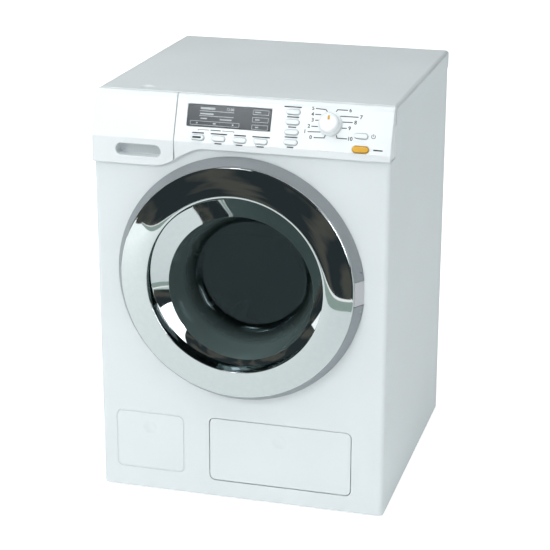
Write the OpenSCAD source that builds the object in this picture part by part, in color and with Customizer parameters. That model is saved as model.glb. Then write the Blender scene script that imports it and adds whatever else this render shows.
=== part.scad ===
// Toy front-loading washing machine, battery driven, built up from its separate mouldings.
// Millimetres. X runs left to right, Y front to back, Z up from the floor.
// The drum, the door dish and bowl, and the two-stage drive behind the tub are the skilled parts.

/* [Cabinet] */
// Overall width, over the top cover
body_w = 185; // [178:1:200]
// Depth of the cabinet, from the flat front to the back
body_d = 180; // [176:1:200]
// Overall height above the floor
body_h = 260; // [256:1:275]
// Wall thickness of the cabinet mouldings
wall = 2.4; // [2:0.1:2.8]
// Radius of the upright front edges
edge_r = 3; // [2:0.5:4]
// Height of the top cover's skirt
skirt_h = 12; // [10:1:14]
// How far the skirt stands out past the walls below it
skirt_step = 0.5; // [0.3:0.1:0.7]
// Radius of the rounded top edges
top_edge_r = 2.6; // [2:0.2:3]
// Width of the seams between mouldings
seam = 0.3; // [0.2:0.05:0.4]
// Thickness of the bottom plate
base_t = 2.4; // [2:0.1:3]
// Radius of a foot pad
foot_r = 6; // [5:0.5:8]
// Height of a foot pad
foot_h = 1.5; // [1:0.25:2]
// Distance of a foot's centre from the cabinet's faces
foot_inset = 16; // [13:1:24]

/* [Door] */
// Distance of the ring's axis below the crease of the panel
door_drop = 85.2; // [84.8:0.1:86]
// Radius of the ring where it meets the cabinet
door_r = 77.8; // [77:0.2:78.4]
// Radius of the chrome ring's outer edge
lip_r = 73.3; // [72.6:0.1:74]
// Distance of the chrome ring's outer edge from the cabinet's front
lip_out = 8; // [7.6:0.1:8.6]
// Radius of the crest where the ring turns into the dish
crest_r = 55.2; // [54.6:0.2:56.4]
// Distance of the crest from the cabinet's front
door_proud = 12; // [11.4:0.2:13]
// Gap between the closed door and the cabinet
door_gap = 0.3; // [0.25:0.05:0.4]
// Wall of the ring and dish mouldings
door_wall = 1.2; // [1:0.1:1.5]
// Radius of the bowl at the foot of the dish
glass_r = 46; // [45:0.2:46.6]
// Distance of the bowl's and the drum's axis below the ring's axis
glass_drop = 6; // [5.4:0.1:6.4]
// Distance of the bowl's rim behind the cabinet's front
glass_in = 1.6; // [1.2:0.1:3.6]
// Depth of the bowl behind its rim
bowl_depth = 30; // [26:0.5:31]
// Radius of the bowl's flat floor
bowl_floor_r = 34; // [32:0.5:36]
// Wall of the clear bowl
bowl_wall = 1.6; // [1.4:0.1:1.8]
// Distance of the hinge axis from the middle of the cabinet
hinge_x = 75.3; // [75:0.1:75.5]
// Distance of the hinge axis from the cabinet's front
hinge_out = 1.6; // [1.5:0.05:1.7]
// Height of the hinge knuckle
knuckle_h = 15; // [13:0.5:17]
// Radius of the hinge pin
pin_r = 0.7; // [0.6:0.05:0.75]

/* [Control panel] */
// Distance from the top down to the crease where the panel starts to lean back
crease_drop = 26.8; // [26.4:0.1:27.2]
// How far the panel stands out from the cabinet's front
panel_proud = 2.5; // [2.2:0.1:2.8]
// Backward lean of the panel above the crease
panel_lean = 21.5; // [20:0.5:23]
// Wall of the panel and the drawer front
panel_wall = 2.2; // [1.8:0.1:2.4]
// Distance of the panel's lower edge below the crease
panel_drop = 3.9; // [3.5:0.1:4.1]
// Distance of the drawer front's lower edge below the crease
drawer_drop = 16.2; // [15.8:0.1:16.6]
// Place of the seam between drawer and panel
split_x = -40; // [-41:0.5:-39.5]
// Where the curved lower edge starts to rise
curve_x = -52; // [-53:0.5:-51.5]
// Length over which the lower edge rises
curve_run = 30; // [29:0.5:32]
// Middle of the display
display_x = -7; // [-7.4:0.2:-6.4]
// Middle of the display above the crease
display_v = 16.3; // [16:0.1:16.8]
// Width of the display
display_w = 51.6; // [50:0.2:52]
// Height of the display
display_h = 13.3; // [12.8:0.1:13.6]
// Width of an option key
key_w = 8; // [7.6:0.1:8.4]
// Height of an option key
key_h = 2.9; // [2.7:0.1:3.2]
// How far a key stands out
key_proud = 1.1; // [1:0.05:1.2]
// Travel of a key
key_travel = 1; // [0.8:0.05:1]
// Place of the first key of the lower row
row_x = -25.1; // [-25.6:0.1:-24.8]
// Pitch of the lower row
row_pitch = 13; // [12.8:0.05:13.1]
// Height of the lower row above the crease
row_v = 3.1; // [2.9:0.05:3.3]
// Place of the key column
column_x = 32; // [31.6:0.1:32.4]
// Height of the column's lowest key above the crease
column_v = 4.1; // [4:0.05:4.3]
// Pitch of the key column
column_pitch = 5.97; // [5.85:0.01:6.1]
// Place of the power key
power_x = 73.7; // [73:0.1:74.4]
// Height of the power key above the crease
power_v = 10.6; // [10.2:0.1:11.2]
// Place of the door key
door_key_x = 74; // [73.5:0.1:74.5]
// Height of the door key above the crease
door_key_v = 2.75; // [2.7:0.05:3]
// Width of the door key
door_key_w = 9.8; // [9.4:0.1:10.2]
// Height of the door key
door_key_h = 3.7; // [3.4:0.1:4]
// Place of the program knob
knob_x = 54.6; // [54.2:0.1:55]
// Height of the program knob above the crease
knob_v = 16.6; // [16.2:0.1:17]
// Radius of the knob's skirt
knob_r = 7.1; // [6.8:0.1:7.6]
// Radius of the knob's face
knob_face_r = 5.2; // [4.9:0.1:5.5]
// Height of the knob
knob_h = 5.2; // [4.8:0.1:6]
// Radius of the knob's spindle
spindle_r = 2.5; // [2.2:0.1:2.8]

/* [Drawer and flaps] */
// Length of the drawer's tray
tray_l = 94; // [80:1:98]
// Height of the drawer's tray
tray_h = 25; // [20:0.5:26]
// Travel of the drawer
drawer_travel = 62; // [50:1:66]
// Wall of the tray, its housing and the flap's compartment
tray_wall = 1.6; // [1.4:0.1:1.8]
// Clearance of the drawer in its housing
drawer_gap = 0.3; // [0.25:0.05:0.4]
// Width of the finger recess
recess_w = 28.6; // [26:0.2:30]
// Height of the finger recess
recess_h = 7.6; // [7:0.1:8]
// Place of the finger recess
recess_x = -62.6; // [-63.4:0.2:-61.8]
// Distance of the finger recess below the crease
recess_drop = 7.4; // [7:0.1:7.6]
// Depth of the finger recess
recess_d = 8; // [6:0.25:8.5]
// Middle of the opening flap
flap_x = 25.5; // [24.5:0.25:26.5]
// Height of the opening flap's lower edge
flap_z = 12.9; // [12.6:0.1:13.6]
// Width of the opening flap
flap_w = 91.2; // [88:0.2:92]
// Distance of the opening flap's upper edge below the ring
flap_drop = 15.4; // [14.4:0.1:17]
// Corner radius of the flaps
flap_r = 3.4; // [2.6:0.1:4]
// Depth of the compartment behind the flap
flap_depth = 54; // [40:1:60]
// Middle of the moulded flap
mock_x = -59.6; // [-60.4:0.2:-59]
// Height of the moulded flap's lower edge
mock_z = 14.8; // [14:0.2:16]
// Width of the moulded flap
mock_w = 45.2; // [43:0.2:46]
// Distance of the moulded flap's upper edge below the ring
mock_drop = 16.2; // [15:0.2:18]
// Radius of the finger dimples
dimple_r = 4.8; // [4:0.1:5.2]
// Depth of the finger dimples
dimple_d = 0.9; // [0.6:0.05:1.1]

/* [Drum and drive] */
// Outer radius of the drum
drum_r = 62; // [60:0.5:63]
// Length of the drum
drum_l = 84; // [76:1:88]
// Wall of the drum
drum_wall = 1.6; // [1.4:0.1:1.8]
// Radius of the drum's mouth
mouth_r = 50; // [49:0.1:50.6]
// Holes along the drum
hole_rows = 5; // [3:1:6]
// Holes between two paddles
hole_cols = 6; // [4:1:6]
// Radius of a drum hole
hole_r = 2.2; // [1.6:0.1:2.4]
// Number of paddles
paddles = 3; // [3:1:4]
// Height of a paddle
paddle_h = 12; // [9:0.5:14]
// Width of a paddle at its foot
paddle_w = 15; // [12:0.5:16]
// Gap between drum and tub
tub_gap = 4; // [3.5:0.25:5]
// Wall of the tub
tub_wall = 2; // [1.8:0.1:2.2]
// Radius of the drum's shaft
shaft_r = 3; // [2.5:0.1:3.4]
// Running clearance of shafts and pins
run_gap = 0.05; // [0.03:0.01:0.08]
// Clearance of pressed joints
press_gap = 0.02; // [0.01:0.01:0.03]
// Gear module of both stages
gear_m = 1; // [0.98:0.005:1.01]
// Teeth of the drum's gear
drum_teeth = 72; // [66:3:75]
// Teeth of the idler's pinion
idler_teeth = 12; // [12:1:13]
// Teeth of the idler's wheel
wheel_teeth = 40; // [36:2:42]
// Teeth of the motor's pinion
motor_teeth = 10; // [10:1:11]
// Face width of the gears
gear_w = 5; // [4:0.25:5.5]
// Backlash at the pitch circle
backlash = 0.16; // [0.12:0.01:0.24]
// Radius of the motor's can
motor_r = 10; // [9:0.25:10.5]
// Length of the motor's can
motor_l = 24; // [20:0.5:24.5]

/* [Power] */
// Radius of a battery cell
cell_r = 13.1; // [12.8:0.05:13.1]
// Length of a battery cell with its nub
cell_l = 49.2; // [48:0.1:49.4]
// Clearance round a cell
cell_gap = 0.3; // [0.25:0.05:0.5]
// Radius of the loudspeaker
speaker_r = 18; // [14:0.5:20]

/* [Hidden] */
$fn = 64;
front_y = -(body_d + door_proud) / 2 + door_proud;
back_y = front_y + body_d;
shell_w = body_w - 2 * skirt_step;
shell_top = body_h - skirt_h;
crease_z = body_h - crease_drop;
panel_z = crease_z - panel_drop;
drawer_z = crease_z - drawer_drop;
recess_z = crease_z - recess_drop;
door_z = crease_z - door_drop;
glass_z = door_z - glass_drop;
inner_x = shell_w / 2 - wall;
base_z = foot_h;
base_top = base_z + base_t;
cover_in = 11.6;                    // front edge of the top cover behind the front
lap = 1;                            // front wall behind the panel's lower edge
eps = 0.01;

// control panel
panel_t = panel_wall;
panel_x1 = shell_w / 2;
panel_top = body_h - 0.2;
end_t = 1.2;                        // end walls at the seam between drawer and panel
lean_run = tan(panel_lean);
drawer_x0 = -shell_w / 2;
drawer_x1 = split_x - seam / 2;
panel_x0 = split_x + seam / 2;
key_gap = 0.2;
tab_t = 1.2;
tab_w = 1.3;
board_y = 11;                       // board behind the panel's outer face
board_t = 1.6;
board_v = 1.4;
board_h = 22;
mat_t = 1;
dome_h = 2.4;
stem_r = 1.5;
stem_end = board_y - key_travel - 0.9;
dome_r = stem_r + 1.1;
keys_row = [for (i = [0:3]) [row_x + i * row_pitch, row_v]];
keys_col = [for (i = [0:3]) [column_x, column_v + i * column_pitch]];

// door and porthole
collar_r = glass_r + 7.8;
collar_t = 2.2;
collar_in = glass_in + 3.7;
seal_r = collar_r + collar_t + 1.2;
port_r = seal_r + 1.8;
plate_t = 1.7;
ring_back = lip_out - 0.6;
hinge_y = front_y - hinge_out;
pin_l = knuckle_h + 10;
notch_h = knuckle_h + 0.6;
hook_x = -68;
hook_w = 8;
hook_in = 9;
relief_d = 1.3;
relief_w = 3.6;                     // reach of the relief left of the hinge axis
relief_h = 12;

// drum, tub and drive
drum_in = 17;                       // drum's mouth behind the front
drum_back = drum_in + drum_l;
tub_r = drum_r + tub_gap + tub_wall;
tub_in = drum_in - 3;
tub_back = drum_back + 6;
gear_in = tub_back + 2;
wheel_in = gear_in + gear_w + 1.5;
box_in = wheel_in + gear_w + 1.5;
box_t = 2.5;
drum_gear_r = gear_m * drum_teeth / 2;
idler_z = glass_z - gear_m * (drum_teeth + idler_teeth) / 2;
motor_z = idler_z - gear_m * (wheel_teeth + motor_teeth) / 2;
idler_pin_r = 1.5;
motor_shaft_r = 1;
motor_boss_r = 3;
bush_r = shaft_r + 2.5;
tub_post_at = tub_r - 4.8;
post_x = 41;
post_top = glass_z + 24;
post_low = idler_z - 5;
post_r = 3;
screw_r = 1.4;

// drawer
tray_x0 = drawer_x0 + 6.4;
tray_x1 = split_x - 6.2;
tray_z = drawer_z + 3.1;
tray_in = recess_d - panel_proud + tray_wall + press_gap;
runner_z = tray_z - drawer_gap - tray_wall;
runner_l = tray_in + tray_l + 4;
stop_in = tray_in + tray_l - 12;    // peg that stops the drawer in the runner's slot
stop_w = 4;
stop_l = 2;

// flaps and the compartment
flap_h = door_z - door_r - flap_drop - flap_z;
mock_h = door_z - door_r - mock_drop - mock_z;
flap_t = 2.4;
flap_gap = seam + 0.1;
flap_low_gap = 2 * seam;             // room for the lower edge, which dips as it swings in
flap_axis_in = 1.7;
flap_axis_z = flap_z + flap_r + flap_axis_in;
stub_r = 1;
stub_l = 2.4;
stub_block = 6;
bay_wall = tray_wall;
bay_x0 = flap_x - flap_w / 2 - 3 - bay_wall;
bay_x1 = flap_x + flap_w / 2 + 3 + bay_wall;
bay_z0 = flap_z - 4;
bay_z1 = flap_z + flap_h + 3.5;

// power
cell_pitch = 2 * cell_r + 2 * cell_gap;
batt_t = 1.6;
batt_w = 2 * cell_l + 9;
batt_h = 2 * cell_pitch + 2 * batt_t;
batt_d = cell_pitch + batt_t;
batt_z = base_top + 1.6;
batt_back = back_y - wall;
cell_y = batt_back - cell_gap - cell_r;
cell_z = [batt_z + batt_t + cell_gap + cell_r, batt_z + batt_t + cell_gap + cell_r + cell_pitch];
speaker_z = body_h - 52;
back_rib_z = batt_z + batt_h + 28;
vent_z = batt_z + batt_h + 46;
speaker_x = inner_x - 43.6;

// ---------- shared outlines and placements ----------
module rounded(w, h, r) {
    square([w - 2 * r, h], center = true);
    square([w, h - 2 * r], center = true);
    for (sx = [-1, 1], sz = [-1, 1])
        translate([sx * (w / 2 - r), sz * (h / 2 - r)]) circle(r);
}

module pill(w, h) {
    square([w - h, h], center = true);
    for (sx = [-1, 1]) translate([sx * (w - h) / 2, 0]) circle(h / 2);
}

// an outline in x and z, pushed back from a distance behind the front
module behind(depth, length) {
    translate([0, front_y + depth + length, 0]) rotate([90, 0, 0]) linear_extrude(length) children();
}

// an outline in y and z, pushed along x
module along_x(x0, length) {
    translate([x0, 0, 0]) rotate([90, 0, 90]) linear_extrude(length) children();
}

// a profile of radius and depth turned about an axis through the front at height z
module turned(z) {
    translate([0, front_y, z]) rotate([-90, 0, 0]) rotate_extrude($fn = 96) children();
}

// the leaning frame of the control panel: x, outward is minus y, up the panel is z
module on_panel(x, v) {
    translate([0, front_y - panel_proud, crease_z]) rotate([-panel_lean, 0, 0])
        translate([x, 0, v]) children();
}

module panel_slab(y0, length) {
    translate([0, y0 + length, 0]) rotate([90, 0, 0]) linear_extrude(length) children();
}

function rise(x) = let (t = min(1, max(0, (x - curve_x) / curve_run)))
    drawer_z + (panel_z - drawer_z) * t * t * (3 - 2 * t);

// region above the curved lower edge, raised by dz
module above_edge(x0, x1, dz) {
    polygon(concat([[x0, rise(x0) + dz]],
        [for (i = [0:12]) let (x = curve_x + curve_run * i / 12) if (x > x0 && x < x1) [x, rise(x) + dz]],
        [[x1, rise(x1) + dz], [x1, body_h + 20], [x0, body_h + 20]]));
}

// region below the curved lower edge, raised by dz
module below_edge(x0, x1, dz) {
    difference() {
        translate([x0, drawer_z - 20]) square([x1 - x0, 60]);
        above_edge(x0 - 1, x1 + 1, dz);
    }
}

// side profile of the panel's solid, t inside its outer face, reaching y_end
module panel_profile(t, y_end) {
    y0 = front_y - panel_proud + t;
    top = panel_top - t;
    r = top_edge_r;
    bend = y0 + (top - r - crease_z) * lean_run;
    polygon([[y0, drawer_z - 1], [y0, crease_z], [bend, top - r], [y_end, top - r],
        [y_end, drawer_z - 1]]);
    intersection() {
        translate([bend + r, top - r]) circle(r);
        translate([bend, top - 2 * r]) square([y_end - bend, 2 * r]);
    }
    if (y_end > bend + r) translate([bend + r, top - r - 1]) square([y_end - bend - r, r + 1]);
}

// hollow front moulding between two places across the cabinet, with an end wall each side
module panel_shell(x0, x1, end0, end1) {
    y_end = front_y + cover_in - seam;
    side0 = end0 == panel_t ? 3 + seam : -1;
    side1 = end1 == panel_t ? 3 + seam : -1;
    intersection() {
        difference() {
            along_x(x0, x1 - x0) panel_profile(0, y_end);
            along_x(x0 + end0, x1 - x0 - end0 - end1) panel_profile(panel_t, y_end + 10);
            translate([x0 + end0, front_y - panel_proud + panel_t, drawer_z - 2])
                cube([x1 - x0 - end0 - end1, 40, 4]);
            // the front wall of the cabinet laps up behind the lower edge
            behind(-seam, 40) below_edge(x0 + side0, x1 - side1, lap + seam);
        }
        behind(-20, 60) above_edge(x0, x1, 0);
    }
}

// ---------- cabinet ----------
module shell_plan(grow) {
    w = shell_w + 2 * grow;
    y0 = front_y - grow;
    r = edge_r + grow;
    translate([-w / 2, y0 + r]) square([w, back_y - y0 - r]);
    translate([-w / 2 + r, y0]) square([w - 2 * r, r]);
    for (s = [-1, 1]) translate([s * (w / 2 - r), y0 + r]) circle(r);
}

module cabinet_shell() {
    color("#e9edee") {
        difference() {
            translate([0, 0, base_z]) linear_extrude(shell_top - base_z) difference() {
                shell_plan(0);
                intersection() {
                    translate([0, 0]) shell_plan(-wall);
                    translate([-body_w, front_y + wall]) square([2 * body_w, body_d + 10]);
                }
                translate([-inner_x, back_y - wall - 10]) square([2 * inner_x, wall + 20]);
            }
            // room for the panel and the drawer front along the curved edge
            behind(-1, cover_in + 1) above_edge(panel_x1 - 3, panel_x1 + 3, -seam);
            behind(-1, cover_in + 1) above_edge(-panel_x1 - 3, -panel_x1 + 3, -seam);
            behind(-1, wall + 2) above_edge(-panel_x1, panel_x1, lap);
            // porthole
            behind(-1, wall + 2) translate([0, glass_z]) circle(port_r, $fn = 96);
            // service flap
            behind(-1, wall + 2) flap_opening();
            // groove and dimple of the moulded flap
            behind(-1, 1.5) translate([mock_x, mock_z + mock_h / 2]) difference() {
                rounded(mock_w, mock_h, flap_r + 0.6);
                rounded(mock_w - 1.4, mock_h - 1.4, flap_r - 0.1);
            }
            dimple(mock_x, mock_z + mock_h - 10.2);
            // relief for the edge of the turning door, and the latch slot
            behind(-1, relief_d + 1) intersection() {
                translate([0, door_z]) circle(door_r, $fn = 96);
                for (s = [-1, 1])
                    translate([hinge_x - relief_w, door_z + s * (knuckle_h + relief_h) / 2 - relief_h / 2])
                        square([relief_w + 10, relief_h]);
            }
            translate([hook_x - 3.5, front_y - 1, door_z - hook_w / 2 - 1])
                cube([7, wall + 2, hook_w + 2]);
            flap_pin_holes();
        }
        tub_posts();
        difference() {
            for (s = [-1, 1]) translate([flap_x + s * (flap_w / 2 + flap_gap + stub_block / 2) - stub_block / 2,
                front_y + wall, flap_axis_z - 4.2]) cube([stub_block, 3.6, 8.4]);
            flap_pin_holes();
        }
        // rails that hold the back panel
        for (s = [-1, 1]) translate([s * (inner_x - 3) - 3, back_y - 2 * wall - 4, base_top + 2])
            cube([6, 4, shell_top - base_top - 12]);
    }
}

// the flap turns above its rounded lower corners, so that they swing in through the opening's own
module flap_opening() {
    h = flap_h + flap_gap + flap_low_gap;
    translate([flap_x, flap_z - flap_low_gap + h / 2]) rounded(flap_w + 2 * flap_gap, h, flap_r + flap_gap);
}

module flap_pin_holes() {
    for (s = [-1, 1]) translate([flap_x + s * (flap_w / 2 + flap_gap + stub_l / 2 + 0.2),
        front_y + flap_axis_in, flap_axis_z]) rotate([0, 90, 0])
        cylinder(r = stub_r + run_gap, h = stub_l + 0.8, center = true);
}

module tub_posts() {
    for (a = [45, 135, 225, 315]) translate([0, front_y + wall, glass_z]) rotate([0, a, 0])
        translate([tub_post_at, 0, 0]) rotate([-90, 0, 0]) difference() {
            cylinder(r = 3.4, h = tub_in - wall);
            translate([0, 0, 3]) cylinder(r = screw_r + press_gap, h = tub_in);
        }
}

module dimple(x, z) {
    k = (dimple_r * dimple_r + dimple_d * dimple_d) / (2 * dimple_d);
    translate([x, front_y - k + dimple_d, z]) sphere(k, $fn = 96);
}

module top_cover() {
    w = body_w;
    y0 = front_y + cover_in;
    r = top_edge_r;
    spot = [-63, front_y + 20];
    k = 16;
    color("#e6eae8") difference() {
        intersection() {
            translate([-w / 2, y0, shell_top]) cube([w, back_y - y0, skirt_h]);
            behind(cover_in - 1, body_d) union() {
                translate([-w / 2, 0]) square([w, body_h - r]);
                translate([-w / 2 + r, 0]) square([w - 2 * r, body_h]);
                for (s = [-1, 1]) translate([s * (w / 2 - r), body_h - r]) circle(r);
            }
            along_x(-w / 2 - 1, w + 2) union() {
                translate([y0, 0]) square([back_y - r - y0, body_h]);
                translate([y0, 0]) square([back_y - y0, body_h - r]);
                translate([back_y - r, body_h - r]) circle(r);
            }
        }
        translate([-w / 2 + wall + skirt_step, y0 + wall, shell_top - 1])
            cube([w - 2 * wall - 2 * skirt_step, back_y - y0 - 2 * wall, skirt_h + 1 - wall]);
        // the drawer slides through under the front edge
        translate([drawer_x0 + wall, y0 - 1, shell_top - 1])
            cube([2 * inner_x, wall + 2, skirt_h - wall - 3]);
        translate([spot[0], spot[1], body_h + k - 0.9]) sphere(k, $fn = 96);
    }
}

module base_plate() {
    color("#d9dcda") {
        difference() {
            translate([-inner_x + seam, front_y + wall + seam, base_z])
                cube([2 * inner_x - 2 * seam, body_d - 2 * wall - 2 * seam, base_t]);
            foot_places() translate([0, 0, base_z - 1]) cylinder(r = screw_r, h = base_t + 2);
        }
        // upstands that brace the plate and carry the battery box
        for (s = [-1, 1]) translate([s * (inner_x - 6) - 1, front_y + 20, base_top])
            cube([2, body_d - 40, 4]);
        for (s = [-1, 1]) translate([s * batt_w / 2.6 - 2, back_y - wall - batt_d, base_top])
            cube([4, batt_d - 3, batt_z - base_top]);
    }
}

module foot_places() {
    for (s = [-1, 1], y = [front_y + foot_inset, back_y - foot_inset])
        translate([s * (shell_w / 2 - foot_inset), y, 0]) children();
}

module feet() {
    color("#55585a") foot_places() {
        cylinder(r = foot_r, h = foot_h);
        cylinder(r = screw_r - press_gap, h = foot_h + base_t);
    }
}

module back_panel() {
    z0 = base_top + seam;
    h = shell_top - z0 - seam;
    color("#dfe3e2") difference() {
        union() {
            translate([-inner_x + seam, back_y - wall, z0]) cube([2 * (inner_x - seam), wall, h]);
            // rib frame
            for (s = [-1, 1]) translate([s * (inner_x - 27.6) - 1, back_y - wall - 4, back_rib_z])
                cube([2, 4, speaker_z - back_rib_z - 28]);
        }
        // battery opening
        translate([0, back_y - wall / 2, batt_z + batt_h / 2]) rotate([90, 0, 0])
            linear_extrude(wall + 2, center = true)
                square([batt_w - 2 * batt_t, batt_h - 2 * batt_t], center = true);
        // vents
        for (i = [0:7], s = [-1, 1])
            translate([s * 24, back_y - wall / 2, vent_z + i / 7 * (speaker_z - 44 - vent_z)])
            rotate([90, 0, 0]) linear_extrude(wall + 2, center = true) pill(34, 3);
        // sound holes in front of the loudspeaker
        for (a = [0:60:300]) translate([speaker_x + 8 * cos(a), back_y - wall - 1, speaker_z + 8 * sin(a)])
            rotate([-90, 0, 0]) cylinder(r = 1.5, h = wall + 2);
        translate([speaker_x, back_y - wall - 1, speaker_z]) rotate([-90, 0, 0])
            cylinder(r = 1.5, h = wall + 2);
        back_screw_places() {
            cylinder(r = screw_r + 0.1, h = 20, center = true);
            translate([0, 0, -1.3]) cylinder(r = 2 * screw_r + 0.2, h = 3);
        }
    }
}

// screw axes at the back face, z pointing out of the back
module back_screw_places() {
    for (s = [-1, 1], z = [base_top + 14, (base_top + shell_top) / 2, shell_top - 18])
        translate([s * (inner_x - 3.5), back_y, z]) rotate([-90, 0, 0]) children();
}

module screw(length, head_r, head_h) {
    translate([0, 0, -head_h]) cylinder(r = head_r, h = head_h);
    translate([0, 0, -length]) cylinder(r = screw_r - press_gap, h = length - head_h + eps);
}

module back_screws() {
    color("#8a8f93") back_screw_places() difference() {
        translate([0, 0, -0.3]) screw(wall + 2, 2 * screw_r, 1);
        translate([0, 0, -0.6]) cross_slot();
    }
}

module cross_slot() {
    for (a = [0, 90]) rotate(a) translate([-1.3, -0.25, -0.2]) cube([2.6, 0.5, 2]);
}

module battery_cover() {
    w = batt_w - 2 * batt_t - 2 * seam;
    h = batt_h - 2 * batt_t - 2 * seam;
    color("#dfe3e2") difference() {
        translate([-w / 2, back_y - wall + 0.2, batt_z + batt_t + seam]) cube([w, wall - 0.2, h]);
        for (i = [0:4]) translate([-14, back_y - 0.6, batt_z + batt_h / 2 - 10 + 5 * i]) cube([28, 1, 1.2]);
    }
}

module battery_box() {
    color("#cfd3d1") difference() {
        translate([-batt_w / 2, batt_back - batt_d, batt_z]) cube([batt_w, batt_d, batt_h]);
        for (z = cell_z) translate([0, cell_y, z]) rotate([0, 90, 0])
            cylinder(r = cell_r + cell_gap, h = batt_w - 2 * batt_t, center = true);
        for (z = cell_z) translate([-batt_w / 2 + batt_t, cell_y, z - cell_r - cell_gap])
            cube([batt_w - 2 * batt_t, batt_d, 2 * cell_r + 2 * cell_gap]);
    }
}

module battery_cells() {
    color("#6f7a80") for (i = [0, 1], k = [-1, 1])
        translate([k * cell_l / 2, cell_y, cell_z[i]]) mirror([i, 0, 0]) rotate([0, 90, 0])
            rotate_extrude() polygon([[0, -cell_l / 2 + 0.02], [cell_r - 1.5, -cell_l / 2 + 0.02],
                [cell_r, -cell_l / 2 + 1.5], [cell_r, cell_l / 2 - 3.2], [cell_r - 1.5, cell_l / 2 - 1.7],
                [2.8, cell_l / 2 - 1.7], [2.8, cell_l / 2 - 0.02], [0, cell_l / 2 - 0.02]]);
}

module battery_contacts() {
    color("#b9bcc0") for (i = [0, 1]) {
        s = i == 0 ? -1 : 1;
        for (k = [-1, 1]) translate([k * (batt_w / 2 - batt_t - 0.3), cell_y, cell_z[i]])
            cube([0.5, 12, 14], center = true);
        // conical return spring against the flat end of the cell, as rings of wire
        for (j = [0:2]) translate([s * (cell_l + 0.5 + j * 0.95), cell_y, cell_z[i]]) rotate([0, 90, 0])
            rotate_extrude($fn = 32) translate([3.4 + j * 0.7, 0]) circle(0.4, $fn = 16);
        translate([-s * (cell_l + (batt_w / 2 - batt_t - 0.55 - cell_l) / 2), cell_y, cell_z[i]])
            rotate([0, 90, 0]) cylinder(r = 3, h = batt_w / 2 - batt_t - 0.6 - cell_l, center = true);
    }
}

module speaker() {
    color("#2f3234") translate([speaker_x, back_y - wall, speaker_z]) rotate([90, 0, 0]) {
        difference() {
            cylinder(r = speaker_r, h = 2);
            translate([0, 0, -1]) cylinder(r = speaker_r - 4, h = 2.4);
        }
        translate([0, 0, 1.4]) cylinder(r1 = speaker_r - 3, r2 = speaker_r / 2, h = 4);
        translate([0, 0, 5.3]) cylinder(r = speaker_r / 2 + 1, h = 5);
    }
}

// ---------- control panel ----------
module control_panel() {
    color("#f6f8f8") difference() {
        union() {
            panel_shell(panel_x0, panel_x1, end_t, panel_t);
            // bosses that carry the board
            for (p = board_screws()) on_panel(p[0], p[1]) panel_slab(panel_t - 0.2, board_y - panel_t + 0.2)
                circle(2);
        }
        on_panel(display_x, display_v) {
            panel_slab(-1, panel_t + 2) square([display_w - 3, display_h - 3], center = true);
            panel_slab(-1, 1 + 1.2) square([display_w, display_h], center = true);
        }
        for (p = concat(keys_row, keys_col, [[power_x, power_v]])) on_panel(p[0], p[1])
            panel_slab(-1, panel_t + 2) pill(key_w + 2 * key_gap, key_h + 2 * key_gap);
        on_panel(door_key_x, door_key_v) panel_slab(-1, panel_t + 2)
            pill(door_key_w + 2 * key_gap, door_key_h + 2 * key_gap);
        on_panel(knob_x, knob_v) panel_slab(-1, panel_t + 2) circle(spindle_r + 1);
    }
}

function board_screws() = [
    [display_x - display_w / 2 - 2.5, board_v + board_h - 4],
    [column_x - 9, board_v + board_h - 3],
    [power_x + 8, board_v + board_h - 4]];

module display_window() {
    color("#333b3d") on_panel(display_x, display_v) {
        panel_slab(-0.2, 1.3) square([display_w - 0.3, display_h - 0.3], center = true);
        panel_slab(1, board_y - 1 - 0.02) square([display_w - 3.4, display_h - 3.4], center = true);
    }
}

module circuit_board() {
    x0 = panel_x0 + 3;
    x1 = panel_x1 - 6;
    color("#2f6a46") on_panel(0, 0) difference() {
        translate([x0, board_y, board_v]) cube([x1 - x0, board_t, board_h]);
        on_board_hole();
    }
    // two chips on the rear side
    color("#26292b") on_panel(0, board_v + board_h / 2) {
        translate([display_x - 13, board_y + board_t - eps, -6]) cube([14, 2, 9]);
        translate([display_x + 15, board_y + board_t - eps, -5]) cube([8, 2, 6]);
    }
}

module on_board_hole() {
    for (p = board_screws()) translate([p[0], 0, p[1]]) panel_slab(board_y - 1, board_t + 2) circle(0.9);
}

module key_mat() {
    color("#c9cdcf") on_panel(0, 0) {
        v0 = board_v + 0.1;
        mat_patch(keys_row[0][0] - 6, keys_row[3][0] + 5, v0, row_v + 2.7, keys_row);
        mat_patch(column_x - 4.6, column_x + 4.6, v0, column_v + 3 * column_pitch + 3.1, keys_col);
        mat_patch(power_x - 5.6, power_x + 5.6, v0, power_v + 4,
            [[power_x, power_v], [door_key_x, door_key_v]]);
    }
}

module mat_patch(x0, x1, v0, v1, places) {
    difference() {
        union() {
            translate([x0, board_y - mat_t, v0]) cube([x1 - x0, mat_t - 0.02, v1 - v0]);
            for (p = places) translate([p[0], 0, p[1]])
                panel_slab(board_y - mat_t - dome_h, dome_h + 0.1) circle(dome_r);
        }
        for (p = places) translate([p[0], 0, p[1]])
            panel_slab(board_y - mat_t - dome_h - 1, dome_h + mat_t + 2) circle(stem_r + 0.5);
        translate([x0 - 5, 0, v0 - 5]) cube([x1 - x0 + 10, 20, 5]);
    }
}

// a key: pill cap, two tabs behind the panel and a round stem
module key(x, v, w, h) {
    on_panel(x, v) {
        panel_slab(-key_proud + 0.4, key_proud - 0.4 + panel_t + key_gap + 0.2) pill(w, h);
        panel_slab(-key_proud, 0.5) pill(w - 0.8, h - 0.8);
        panel_slab(panel_t + key_gap, tab_t) square([w + 2 * tab_w, h - 1.6], center = true);
        panel_slab(panel_t + key_gap, stem_end - panel_t - key_gap) circle(min(stem_r, h / 2 - 0.1));
    }
}

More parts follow.
